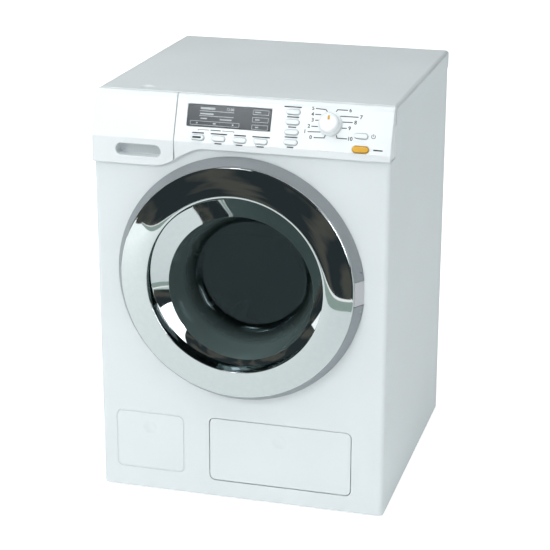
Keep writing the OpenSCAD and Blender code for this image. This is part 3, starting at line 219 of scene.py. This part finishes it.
def window(name, place, aim, width, height, strength):
    """A bright pane that bright metal and the clear bowl mirror."""
    glow = new_material(name + "_light")
    sky = add(glow, "TexNoise", {"Scale": 2.5, "Detail": 2.0})
    sky_tone = blend(glow, sky.outputs["Fac"], linear("#dfe9ee"), linear("#ffffff"))
    shine(glow, sky_tone, strength)
    towards = (Vector(aim) - Vector(place)).to_track_quat("Z", "Y")
    bpy.ops.mesh.primitive_plane_add(size=1, location=place, rotation=towards.to_euler())
    bpy.context.object.scale = (width, height, 1)
    staged(name, glow, False)


# each window has one far brighter pane, which draws the thin highlights in the bowl
window("side_window", (1.08, -1.02, 0.5), (0, -0.08, 0.14), 0.9, 0.8, 2.2)
window("side_pane", (1.06, -1.0, 0.5), (0, -0.08, 0.14), 0.14, 0.6, 16)
window("front_pane", (-0.41, -1.28, 1.04), (0, -0.06, 0.14), 0.12, 0.2, 16)
window("front_window", (-0.42, -1.3, 1.05), (0, -0.06, 0.14), 0.4, 0.3, 4)

world = bpy.data.worlds.new("studio")
world.use_nodes = True
world.node_tree.nodes["Background"].inputs["Color"].default_value = linear("#f4f8fa")
world.node_tree.nodes["Background"].inputs["Strength"].default_value = 0.36
bpy.context.scene.world = world


def softbox(name, place, aim, width, height, watts):
    """A rectangular lamp at a place, turned to a point. It lights, and nothing mirrors it."""
    lamp = bpy.data.objects.new(name, bpy.data.lights.new(name, "AREA"))
    bpy.context.scene.collection.objects.link(lamp)
    lamp.location = place
    lamp.rotation_euler = (Vector(aim) - Vector(place)).to_track_quat("-Z", "Y").to_euler()
    lamp.data.shape = "RECTANGLE"
    lamp.data.size = width
    lamp.data.size_y = height
    lamp.data.energy = watts
    lamp.visible_camera = False
    lamp.visible_glossy = False


softbox("top_light", (-0.35, -0.35, 1.5), (0, 0, 0.12), 1.0, 1.0, 12)
softbox("front_light", (-0.5, -1.35, 1.15), (0, -0.08, 0.14), 0.8, 0.6, 12)
softbox("side_light", (1.2, -0.2, 1.0), (0.09, 0, 0.13), 0.8, 0.8, 3)


# ---------------------------------------------------------------- cabinet
# The cabinet is an injection-moulded ABS box: front and sides in one piece, a top cover with a skirt,
# a vented back and a bottom plate. The mouldings are white all through and come from a polished tool.
def object_noise(material, scale, detail):
    """Noise that is fixed to a piece, its scale in cells a metre."""
    place = add(material, "TexCoord", {})
    noise = add(material, "TexNoise", {
        "Vector": place.outputs["Object"], "Scale": scale, "Detail": detail})
    return noise.outputs["Fac"]


def abs_plastic(name, colour, rough):
    """Plastic as moulded: even colour with a slight drift, its gloss dulled in places by handling."""
    made = new_material(name)
    # the melt's colour drifts by a few percent over 60 mm, and the gloss softly over about 30 mm
    drift = object_noise(made, 16.0, 2.0)
    handling = object_noise(made, 33.0, 0.0)
    return output(made, add(made, "BsdfPrincipled", {
        "Base Color": blend(made, drift, toned(colour, 0.97), linear(colour), 0.3, 0.7),
        "Roughness": between(made, handling, rough - 0.03, rough + 0.03), "IOR": 1.54}))


def dress(names, material):
    """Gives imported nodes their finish."""
    for name in names:
        for held in nodes[name].material_slots:
            held.material = material


def moulding(node, body, material, ease=0.3, corner=35):
    """A moulding as it leaves its tool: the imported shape, eased by some tenths of a millimetre along
    each edge that turns by the corner's degrees or more."""
    piece = bpy.data.objects.new(node + "_moulding", nodes[node].data.copy())
    bpy.context.scene.collection.objects.link(piece)
    bpy.ops.object.select_all(action="DESELECT")
    piece.select_set(True)
    bpy.context.view_layer.objects.active = piece
    bpy.ops.object.mode_set(mode="EDIT")
    bpy.ops.mesh.select_all(action="SELECT")
    # every flat face becomes one polygon, so that only real edges are left to ease
    bpy.ops.mesh.remove_doubles(threshold=0.005 * mm)
    bpy.ops.mesh.dissolve_limited(angle_limit=math.radians(0.1))
    bpy.ops.object.mode_set(mode="OBJECT")
    rounded = piece.modifiers.new("rounded_edges", "BEVEL")
    rounded.width = ease * mm
    rounded.segments = 3
    rounded.limit_method = "ANGLE"
    rounded.angle_limit = math.radians(corner)
    rounded.use_clamp_overlap = False
    rounded.loop_slide = False
    bpy.ops.object.modifier_apply(modifier=rounded.name)
    bpy.ops.object.shade_smooth_by_angle(angle=math.radians(36))
    flats = piece.modifiers.new("flat_faces_first", "WEIGHTED_NORMAL")
    flats.keep_sharp = True
    bpy.ops.object.modifier_apply(modifier=flats.name)
    piece.data.materials.clear()
    piece.data.materials.append(material)
    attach(piece, body)
    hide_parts(node)
    return piece


cabinet_abs = abs_plastic("white_abs_satin", "#d8dfe1", 0.3)
moulding("cabinet_shell", "cabinet", cabinet_abs)
moulding("top_cover", "cabinet", cabinet_abs, 0.4)
dress(["back_panel"], cabinet_abs)
moulding("battery_cover", "cabinet", cabinet_abs)

# The bottom plate, the bins behind the front and the gear plate are plain polypropylene, never polished.
polypropylene = abs_plastic("grey_polypropylene_as_moulded", "#d3d7d7", 0.5)
moulding("base_plate", "cabinet", polypropylene)
dress(["drawer_runner", "flap_compartment", "gearbox_plate", "latch_catch"], polypropylene)


# ---------------------------------------------------------------- feet
# Four soft pads of thermoplastic rubber, pushed through the bottom plate by their stems.
def relief(material, height, depth, strength):
    """Fine relief that follows a pattern, its depth in metres."""
    return add(material, "Bump", {"Height": height, "Distance": depth, "Strength": strength}).outputs[0]


def rubber(name, colour, rough):
    """Soft rubber: dull, with a fine dusty mottle and no sharp highlight."""
    made = new_material(name)
    dust = object_noise(made, 420.0, 5.0)
    return output(made, add(made, "BsdfPrincipled", {
        "Base Color": blend(made, dust, toned(colour, 0.75), linear(colour)),
        "Roughness": rough, "IOR": 1.5, "Normal": relief(made, dust, 0.00008, 0.4)}))


dress(["feet"], rubber("grey_tpe_rubber", "#5f6264", 0.75))


# ---------------------------------------------------------------- service flap
# The flap at the lower right is its own ABS moulding, with a finger dimple and two stub pins that snap
# into the cabinet. A shallower panel of the same look is moulded into the cabinet at the left.
moulding("service_flap", "flap", cabinet_abs, 0.4)


# ---------------------------------------------------------------- control panel and drawer front
# The panel and the drawer's front are one ABS from a mirror-polished tool; its shade, a little brighter
# than the cabinet's, is painted light, for extra light on the leaning faces. Both lean back above one
# crease, and the seam between them ends in a small open corner.
# painted light: a brighter white than the cabinet's, standing in for the extra light on the leaning faces
panel_abs_painted_brighter = abs_plastic("white_abs_gloss_painted_brighter", "#dee4e6", 0.24)
# the crease turns by 21.5 degrees only, and is eased as well
eased_from = 18
moulding("control_panel", "cabinet", panel_abs_painted_brighter, 0.4, eased_from)
moulding("drawer_front", "drawer", panel_abs_painted_brighter, 0.4, eased_from)
dress(["drawer_tray"], panel_abs_painted_brighter)


# ---------------------------------------------------------------- display
# The window is smoked acrylic over a printed card. The card's signs are plain bars, boxes and numbers.
def smoked_acrylic(name, colour):
    """Smoked acrylic over a dark card: deep, even and glossy, with faint wipe marks."""
    made = new_material(name)
    wipes = object_noise(made, 60.0, 6.0)
    return output(made, add(made, "BsdfPrincipled", {
        "Base Color": blend(made, wipes, toned(colour, 0.85), linear(colour)),
        "Roughness": between(made, wipes, 0.12, 0.24), "IOR": 1.49}))


window_acrylic = smoked_acrylic("smoked_acrylic_window", "#222b31")
moulding("display_window", "cabinet", window_acrylic, 0.15)

# marks are drawn in millimetres across and up the leaning face, from the middle of the crease
panel_foot = Vector((0, -86.5, 233.2)) * mm
panel_lean = math.radians(21.5)
on_panel = Matrix.Translation(panel_foot) @ Matrix.Rotation(-panel_lean, 4, "X")
ink_height = 0.05


def settle(piece, place):
    """Puts a piece's place into its mesh and leaves its object at the origin."""
    piece.data.transform(place @ piece.matrix_world)
    piece.matrix_world = Matrix.Identity(4)
    return piece


def joined(pieces, name):
    """Joins several meshes into one piece."""
    bpy.ops.object.select_all(action="DESELECT")
    for piece in pieces:
        piece.select_set(True)
    bpy.context.view_layer.objects.active = pieces[0]
    bpy.ops.object.join()
    pieces[0].name = name
    pieces[0].data.name = name
    return pieces[0]


def patch(x, v, width, height, slope=0.0):
    """A patch of ink with rounded corners, given by its middle, its size and its slope."""
    bpy.ops.object.select_all(action="DESELECT")
    bpy.ops.mesh.primitive_plane_add(size=1, rotation=(math.pi / 2, 0, 0))
    spot = bpy.context.object
    spot.scale = (width * mm, height * mm, 1)
    bpy.ops.object.transform_apply(location=False, rotation=True, scale=True)
    bpy.ops.object.mode_set(mode="EDIT")
    bpy.ops.mesh.select_all(action="SELECT")
    bpy.ops.mesh.bevel(offset=0.3 * min(width, height) * mm, segments=2, affect="VERTICES")
    bpy.ops.mesh.select_all(action="SELECT")
    bpy.ops.mesh.extrude_region_move(TRANSFORM_OT_translate={"value": (0, -ink_height * mm, 0)})
    bpy.ops.mesh.select_all(action="SELECT")
    bpy.ops.mesh.normals_make_consistent(inside=False)
    bpy.ops.object.mode_set(mode="OBJECT")
    return settle(spot, Matrix.Translation((x * mm, 0, v * mm)) @ Matrix.Rotation(-slope, 4, "Y"))


def stroke(points, thick=0.55):
    """A printed line through points on the panel, in straight strokes."""
    strokes = []
    for (x0, v0), (x1, v1) in zip(points, points[1:]):
        length = math.hypot(x1 - x0, v1 - v0)
        slope = math.atan2(v1 - v0, x1 - x0)
        strokes.append(patch((x0 + x1) / 2, (v0 + v1) / 2, length + thick, thick, slope))
    return strokes


def box_outline(x, v, width, height):
    """The thin outline of a box, given by its middle and size."""
    x0, x1, v0, v1 = x - width / 2, x + width / 2, v - height / 2, v + height / 2
    return stroke([(x0, v0), (x1, v0), (x1, v1), (x0, v1), (x0, v0)], 0.3)


def number(value, x, v, size=3.1):
    """A printed number, its middle on a point of the panel."""
    bpy.ops.object.select_all(action="DESELECT")
    bpy.ops.object.text_add(rotation=(math.pi / 2, 0, 0))
    sign = bpy.context.object
    sign.data.body = str(value)
    sign.data.size = size * mm
    sign.data.align_x = "CENTER"
    sign.data.align_y = "CENTER"
    sign.data.extrude = ink_height / 2 * mm
    sign.data.offset = 0.07 * mm
    bpy.ops.object.convert(target="MESH")
    sign = bpy.context.object
    bpy.ops.object.transform_apply(location=True, rotation=True, scale=True)
    return settle(sign, Matrix.Translation((x * mm, -ink_height / 2 * mm, v * mm)))


def ink(name, colour):
    """Pad-printed ink: matt, a little uneven in density where the pad lifted."""
    made = new_material(name)
    density = object_noise(made, 900.0, 3.0)
    return output(made, add(made, "BsdfPrincipled", {
        "Base Color": blend(made, density, toned(colour, 0.8), toned(colour, 1.25)),
        "Roughness": 0.45, "IOR": 1.5}))


def printed(marks, name, body, material, out=0.0):
    """Prints marks on a leaning face that stands out from the panel by some millimetres."""
    sheet = joined(marks, name)
    settle(sheet, on_panel @ Matrix.Translation((0, -out * mm, 0)))
    sheet.data.materials.clear()
    sheet.data.materials.append(material)
    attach(sheet, body)


# the card behind the window, measured from its upper left corner
left, upper = -32.8, 22.9
card = [patch(left + 12.4, upper - 2.2, 9.2, 1.3), patch(left + 12, upper - 5.5, 8.4, 0.9)]
card += [patch(left + 10.4, upper - 8.3, 4.2, 0.8), patch(left + 24, upper - 8.4, 7.4, 0.8)]
card += [number("12:30", left + 26.2, upper - 2.2, 2.2)]
for down in (3.8, 6.7):
    card += stroke([(left + 7.6, upper - down), (left + 28.6, upper - down)], 0.4)
foot_row = upper - 11.1
card += box_outline(left + 17.4, foot_row, 30.2, 2.3)
card += [patch(left + x, foot_row, width, 0.8) for x, width in ((6.4, 1.0), (17.2, 1.8), (28.6, 1.0))]
for row in range(3):
    row_v = upper - 2.6 - 4.45 * row
    card += box_outline(left + 45.2, row_v, 9.6, 2.7)
    card += [patch(left + 43.4, row_v, 3.8 - 0.9 * row, 0.7)]
card_print = ink("pale_grey_card_print", "#a9b0b3")
printed(card, "display_signs", "cabinet", card_print, 0.2)


# ---------------------------------------------------------------- keys
# Ten keys of ABS stand in tight windows of the panel, each with a silicone dome under its stem. All are
# white pills but the door key, which is wider and yellow; the first key of the row carries a dark bar.
key_abs = abs_plastic("white_abs_keys", "#dae1e3", 0.28)
key_ease = 0.12
white_keys = [line % count for count in (1, 2, 3, 4) for line in ("option_key_%d", "select_key_%d")]
for key in white_keys + ["power_key"]:
    moulding(key, key + "_body", key_abs, key_ease)
yellow_abs = abs_plastic("yellow_abs", "#d29e03", 0.36)
moulding("door_key", "door_key_body", yellow_abs, key_ease)
dress(["key_mat"], rubber("clear_white_silicone", "#d5d9da", 0.55))

dark_ink = ink("dark_grey_panel_print", "#30373a")
key_out = 1.1
printed([patch(-25.4, 3.1, 5.4, 1.1)], "option_key_1_bar", "option_key_1_body",
        ink("black_key_print", "#1f2426"), key_out)

# plain bars above each key of the row, and below three of them, given by place and lengths
key_marks = []
for x, above, below in ((-25.1, 7.6, 0), (-12.1, 10.2, 4.4), (0.9, 7.4, 4.2), (13.9, 10.8, 4.4)):
    key_marks += [patch(x, 5.9, above, 0.75)]
    if below:
        key_marks += [patch(x, 0.15, below, 0.7)]
key_marks += stroke([(-25.2, 7.3), (-25.2, 7.9), (-18.6, 7.9)], 0.3)
key_marks += stroke([(-10.2, 7.9), (-3, 7.9), (-3, 7.3)], 0.3) + [patch(-14.4, 7.9, 6.4, 0.6)]
# bars above each key of the column, below its lowest one and beside the door key
for row, (x, length) in enumerate(((32, 7.8), (32, 5.0), (32, 7.4), (31.4, 10.6))):
    key_marks += [patch(x, 7.1 + 5.97 * row, length, 0.7)]
key_marks += [patch(32, 1.2, 4.0, 0.7), patch(84.4, 2.9, 5.6, 0.75)]
# sign of the power key: a ring with a stroke through its gap
sign_x, sign_v, sign_r = 81, 10.8, 1.15
sign_ring = [(sign_x + sign_r * math.cos(math.radians(a)), sign_v + sign_r * math.sin(math.radians(a)))
             for a in range(130, 412, 31)]
key_marks += stroke(sign_ring, 0.34) + stroke([(sign_x, 10.9), (sign_x, 12.1)], 0.34)
printed(key_marks, "key_signs", "cabinet", dark_ink)


# ---------------------------------------------------------------- program knob
# The knob is a white ABS cap with a skirt, pressed on a steel spindle that turns a switch on the board.
# Its yellow mark is a separate insert, and leader lines run from the knob to a scale of plain numbers.
knob_abs = abs_plastic("white_abs_knob", "#e0e6e8", 0.26)
moulding("program_knob", "knob", knob_abs, 0.2)
dress(["knob_pointer"], yellow_abs)

# leader lines on the left from the top down, then on the right
scale_marks = []
for line in ([(45.4, 25.0), (51.2, 24.7), (52.2, 23.6)], [(45.4, 21.5), (48.5, 21.6)],
             [(45.7, 18.1), (47.3, 18.2)], [(43.8, 14.4), (47.2, 14.5)], [(41.8, 11.1), (49, 11.4)],
             [(45.8, 7.9), (51.8, 8.1), (52.3, 9.5)],
             [(57.5, 24), (58.3, 25.1), (64.1, 25.1)], [(60.4, 21.4), (70.8, 21.5)],
             [(62.1, 18.1), (67.7, 18.2)], [(62.1, 14.5), (64.5, 14.6)],
             [(59, 9.9), (59.5, 8.5), (65.3, 8.5)]):
    scale_marks += stroke(line)
# numbers from 0, clockwise from the lower left
for value, (x, v) in enumerate(((43.7, 7.9), (39.9, 11.1), (42, 14.4), (43.9, 18.1), (43.6, 21.5),
                                (43.6, 25), (66, 25.1), (72.7, 21.5), (69.6, 18.2), (66.4, 14.6),
                                (67.2, 8.5))):
    scale_marks += [number(value, x, v)]
printed(scale_marks, "knob_scale", "cabinet", dark_ink)


# ---------------------------------------------------------------- door frame
# The door's frame is an ABS ring painted silver. Its cone shows between the cabinet and the bright ring,
# and its collar holds the clear bowl. A knuckle on the cabinet carries the steel hinge pin; its light
# grey is painted shade, for the shade on the white knuckle's face that turns away from the light.
def silver_paint(name, colour, rough):
    """Silver lacquer on ABS: fine metal flakes in a satin clear coat."""
    made = new_material(name)
    place = add(made, "TexCoord", {})
    # flakes of about 0.5 mm, drawn ten times coarser than real ones, so that they show
    flakes = add(made, "TexVoronoi", {"Vector": place.outputs["Object"], "Scale": 2200.0})
    gloss = object_noise(made, 40.0, 2.0)
    return output(made, add(made, "BsdfPrincipled", {
        "Base Color": blend(made, flakes.outputs["Distance"], toned(colour, 1.06), toned(colour, 0.94)),
        "Roughness": between(made, gloss, rough - 0.06, rough + 0.06), "Metallic": 0.55, "IOR": 1.5}))


ring_paint = silver_paint("silver_lacquer_on_abs", "#9ca2a6", 0.42)
moulding("door_frame", "door", ring_paint, 0.25)
dress(["bowl_retainer", "door_hook"], ring_paint)
# painted shade: the knuckle's light grey stands in for shade on white ABS
knuckle_abs_painted_shade = abs_plastic("white_abs_painted_grey_shade", "#c0c3c7", 0.35)
moulding("hinge_knuckle", "cabinet", knuckle_abs_painted_shade, 0.25)


# ---------------------------------------------------------------- bright ring
# The bright ring is ABS, plated with aluminium in a vacuum. Its face rises in a quarter wave from a
# rounded lip to a crest, so that its inner part faces straight forwards.
door_z, crest_r, crest_y, crest_round = 148.0, 55.2, -96.0, 0.5
lip_r, lip_y, lip_round = 73.3, -92.6, 1
ring_wall = 1.2


def welded(piece):
    """Merges doubled points, turns the faces outwards and smooths all but the sharp edges."""
    bpy.ops.object.mode_set(mode="EDIT")
    bpy.ops.mesh.select_all(action="SELECT")
    bpy.ops.mesh.remove_doubles(threshold=0.002 * mm)
    bpy.ops.mesh.normals_make_consistent(inside=False)
    bpy.ops.object.mode_set(mode="OBJECT")
    bpy.ops.object.shade_smooth_by_angle(angle=math.radians(28))
    return piece


def turned_ring(name, axis, profile, closed=True):
    """A ring turned on a lathe: a circle drawn out and opened or closed by hand from step to step.
    The profile is a loop of (radius, depth, axis height), with a lean where a step has one."""
    loops = [(*step, 0)[:4] for step in profile]
    radius, depth, height, _ = loops[0]
    bpy.ops.object.select_all(action="DESELECT")
    bpy.ops.mesh.primitive_circle_add(vertices=192, radius=radius * mm, rotation=(math.pi / 2, 0, 0),
                                      location=(0, depth * mm, (axis + height) * mm))
    ring = bpy.context.object
    ring.name = name
    ring.data.name = name
    bpy.ops.object.transform_apply(location=True, rotation=True, scale=True)
    bpy.ops.object.mode_set(mode="EDIT")
    bpy.ops.mesh.select_all(action="SELECT")
    for (r0, y0, z0, a0), (r1, y1, z1, a1) in zip(loops, loops[1:] + (loops[:1] if closed else [])):
        middle = (0, y1 * mm, (axis + z1) * mm)
        step = (0, (y1 - y0) * mm, (z1 - z0) * mm)
        bpy.ops.mesh.extrude_region_move(TRANSFORM_OT_translate={"value": step})
        bpy.ops.transform.resize(value=(r1 / r0, r1 / r0, r1 / r0), center_override=middle)
        if a1 != a0:
            bpy.ops.transform.rotate(value=a0 - a1, orient_axis="X", center_override=middle)
    bpy.ops.object.mode_set(mode="OBJECT")
    return welded(ring)


def vacuum_chrome(name):
    """Vacuum-plated ABS: a mirror with the faint waviness of the moulding under it."""
    made = new_material(name)
    # sink and flow of the plastic, over about 25 mm and a few hundredths deep
    swell = object_noise(made, 40.0, 1.0)
    haze = object_noise(made, 300.0, 4.0)
    return output(made, add(made, "BsdfPrincipled", {
        "Base Color": blend(made, haze, linear("#e6eaeb"), linear("#eff2f2")), "Metallic": 1.0,
        "Roughness": between(made, haze, 0.015, 0.05), "Normal": relief(made, swell, 0.0003, 0.12)}))


chrome = vacuum_chrome("vacuum_plated_chrome")
face_r = lip_r - lip_round
face_run = face_r - crest_r - crest_round
face_rise = lip_y - crest_y
wave = [math.pi / 2 * k / 16 for k in range(17)]
face = [(face_r - face_run * k / 16, lip_y - face_rise * math.sin(a), 0) for k, a in enumerate(wave)]
lip = [(face_r + lip_round * math.cos(math.radians(a)),
        lip_y + lip_round - lip_round * math.sin(math.radians(a)), 0) for a in (0, 22, 45, 67)]
crest = [(crest_r + crest_round - crest_round * math.sin(math.radians(a)),
          crest_y + crest_round - crest_round * math.cos(math.radians(a)), 0) for a in (20, 45, 70, 90)]
behind = [(r, y + ring_wall, 0) for r, y, _ in reversed(face[:-1])]
behind = [(crest_r, crest_y + ring_wall, 0)] + behind + [(lip_r, lip_y + ring_wall, 0)]
bright_ring = turned_ring("bright_ring", door_z, lip + face + crest + behind)
bright_ring.data.materials.append(chrome)
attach(bright_ring, "door")
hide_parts("chrome_ring")


# ---------------------------------------------------------------- dish
# The dish inside the ring is a second plated moulding. Below the crest it has a short wall, deeper at the
# bottom, and then a cone that narrows to the bowl, whose axis lies 6 mm lower than the ring's.
glass_r, glass_z, glass_y = 46.0, 142.0, -82.4
dish_y = crest_y + ring_wall + 0.05
wall_foot, wall_lean = -89.8, math.radians(4.9)


def cone_step(part, foot_r, foot_y, rim_r):
    """A step of the dish's cone, some part of the way from the foot of the wall to the bowl's rim."""
    return (foot_r + (rim_r - foot_r) * part, foot_y + (glass_y - foot_y) * part,
            (glass_z - door_z) * part, wall_lean * (1 - part))


# the wall's foot turns into the cone over the last 0.15 mm; the back lies about a millimetre outside
dish_front = [(crest_r, dish_y, 0), (crest_r, wall_foot - 0.15, 0, wall_lean),
              (crest_r - 0.06, wall_foot - 0.02, 0, wall_lean)]
dish_front += [cone_step(max(k / 12, 0.02), crest_r, wall_foot, glass_r) for k in range(13)]
dish_back = [cone_step(k / 6, crest_r + 1, wall_foot + 0.2, glass_r + 1.2) for k in range(7)]
dish = turned_ring("dish", door_z, dish_front + dish_back[::-1] + [(crest_r + 1, dish_y, 0)])
dish.data.materials.append(chrome)
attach(dish, "door")
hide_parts("chrome_dish")


# ---------------------------------------------------------------- bowl
# The bowl is moulded from clear polystyrene, smoked so that the drum only shows as a dark room. Its wall
# curves from the rim to a flat floor, and a flange behind the dish is held by a silver retaining ring.
bowl_rim, bowl_floor, bowl_wall, floor_r = -82.35, -52.4, 1.6, 34.0
collar_r = 53.7
inner_floor, outer_rim = bowl_floor - bowl_wall, bowl_rim + bowl_wall
inner, outer = [], []
# quarter ellipses from the rim to the floor, the inner one flared towards the rim
for k in range(25):
    a = math.pi / 2 * k / 24
    reach = (glass_r - floor_r) * math.cos(a)
    flare = 1.5 * (1 - k / 24) ** 4
    inner.append((floor_r - bowl_wall + reach + flare,
                  bowl_rim + (inner_floor - bowl_rim) * math.sin(a), 0))
    outer.append((floor_r + reach, outer_rim + (bowl_floor - outer_rim) * math.sin(a), 0))
# each side ends in its own floor, drawn in to a point
floor_steps = (24, 12, 1, 0.0005)
inside = turned_ring("bowl_inside", glass_z, [(collar_r, bowl_rim, 0)] + inner
                     + [(r, inner_floor, 0) for r in floor_steps], closed=False)
outside = turned_ring("bowl_outside", glass_z, [(collar_r, bowl_rim, 0), (collar_r, outer_rim, 0)]
                      + outer + [(r, bowl_floor, 0) for r in floor_steps], closed=False)
bowl = welded(joined([inside, outside], "clear_bowl"))


def smoked_polystyrene(name, colour):
    """Clear polystyrene with a smoke tint: a bright skin over a dark, slightly blue depth."""
    made = new_material(name)
    flow = object_noise(made, 30.0, 1.0)
    # painted light: the curved wall takes a milky, matt share that stands in for the brightness the real
    # wall gets from reflections; the flat floor stays clear
    place = add(made, "TexCoord", {})
    depth = add(made, "SeparateXYZ", {"Vector": place.outputs["Object"]})
    clear = add(made, "MapRange", {"Value": depth.outputs["Y"], "From Min": -0.066, "From Max": -0.055,
                                   "To Min": 0.35, "To Max": 1.0})
    return output(made, add(made, "BsdfPrincipled", {
        "Base Color": blend(made, flow, toned(colour, 0.85), linear(colour)),
        "Roughness": 0.03, "IOR": 1.5, "Specular Tint": linear("#c4dadf"),
        "Transmission Weight": clear.outputs[0], "Normal": relief(made, flow, 0.0004, 0.15)}))


bowl.data.materials.append(smoked_polystyrene("smoked_polystyrene", "#708382"))
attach(bowl, "door")
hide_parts("door_bowl")


# ---------------------------------------------------------------- tub, seal and drum
# The tub and the seal behind the porthole are plain polypropylene, screwed to posts of the cabinet. The
# drum turns inside on a steel shaft in a bronze bush: a perforated shell with a mouth ring and paddles.
dress(["door_seal", "tub"], abs_plastic("mid_grey_polypropylene", "#b9bfc2", 0.5))
# painted shade: the drum is near-black so that the inside behind the bowl looks as dark as its shade
dress(["drum", "drum_mouth", "drum_paddles"], abs_plastic("drum_abs_painted_dark_as_shade", "#2b3539", 0.5))


# ---------------------------------------------------------------- shafts, pins and screws
# Shafts and pins are ground steel wire, the motor's can is drawn steel, the screws are zinc-plated, and
# the bush is sintered bronze soaked in oil.
def bare_metal(name, colour, rough, scale, streak=(1, 1, 1)):
    """Bare or plated metal: fine tool marks that pull its highlights out along one direction."""
    made = new_material(name)
    place = add(made, "TexCoord", {})
    drawn = add(made, "Mapping", {"Vector": place.outputs["Object"], "Scale": streak})
    noise = add(made, "TexNoise", {"Vector": drawn.outputs[0], "Scale": scale, "Detail": 4.0})
    marks = noise.outputs["Fac"]
    return output(made, add(made, "BsdfPrincipled", {
        "Base Color": blend(made, marks, toned(colour, 0.85), linear(colour)), "Metallic": 1.0,
        "Roughness": between(made, marks, rough - 0.08, rough + 0.08),
        "Normal": relief(made, marks, 0.00003, 0.3)}))


along_y = (1, 0.1, 1)
dress(["drum_shaft"], bare_metal("blackened_steel", "#3c3f42", 0.5, 900.0, along_y))
dress(["motor_shaft", "idler_pin", "hinge_pin", "knob_spindle"],
      bare_metal("ground_steel", "#c0c3c7", 0.3, 900.0, along_y))
dress(["motor"], bare_metal("drawn_steel_can", "#b6b9bd", 0.38, 500.0, (1, 0.08, 1)))
dress(["back_screws", "inner_screws"], bare_metal("zinc_plated_steel", "#a9adae", 0.42, 700.0))
dress(["drum_bush"], bare_metal("sintered_bronze", "#a98748", 0.5, 2500.0))


# ---------------------------------------------------------------- gear train
# The drum's gear and the idler are moulded in acetal, milky and a little waxy, with full involute teeth.
# The motor's pinion is hobbed from brass rod.
dress(["drum_gear", "idler_gear"], abs_plastic("natural_acetal", "#ece8da", 0.38))
dress(["motor_pinion"], bare_metal("hobbed_brass", "#cfa550", 0.28, 1100.0, along_y))


# ---------------------------------------------------------------- battery box
# A polypropylene box takes four cells from the back. Their jackets are plain metal with bright ends, and
# sprung strips of nickelled steel join them.
moulding("battery_box", "cabinet", polypropylene)
dress(["battery_cells"], bare_metal("lacquered_cell_jacket", "#7d878d", 0.34, 200.0, (0.1, 1, 1)))
dress(["battery_contacts"], bare_metal("nickelled_spring_steel", "#c6c8ca", 0.3, 900.0))


# ---------------------------------------------------------------- electric parts
# The board is glass-fibre laminate under green mask, the switch is nylon, and the loudspeaker is a dark
# basket with a paper cone behind the sound holes of the back.
def solder_mask(name, colour):
    """Green mask over glass cloth: satin, with the weave showing through as a fine check."""
    made = new_material(name)
    place = add(made, "TexCoord", {})
    # glass cloth, 0.5 mm a thread
    weave = add(made, "TexChecker", {"Vector": place.outputs["Object"], "Scale": 2000.0,
                                     "Color1": linear(colour), "Color2": toned(colour, 0.88)})
    return output(made, add(made, "BsdfPrincipled", {
        "Base Color": weave.outputs["Color"], "Roughness": 0.35, "IOR": 1.52,
        "Normal": relief(made, weave.outputs["Fac"], 0.00001, 0.2)}))


dress(["circuit_board"], solder_mask("green_solder_mask", "#2f6e49"))
dress(["knob_switch", "speaker"], abs_plastic("black_nylon", "#2e3133", 0.5))
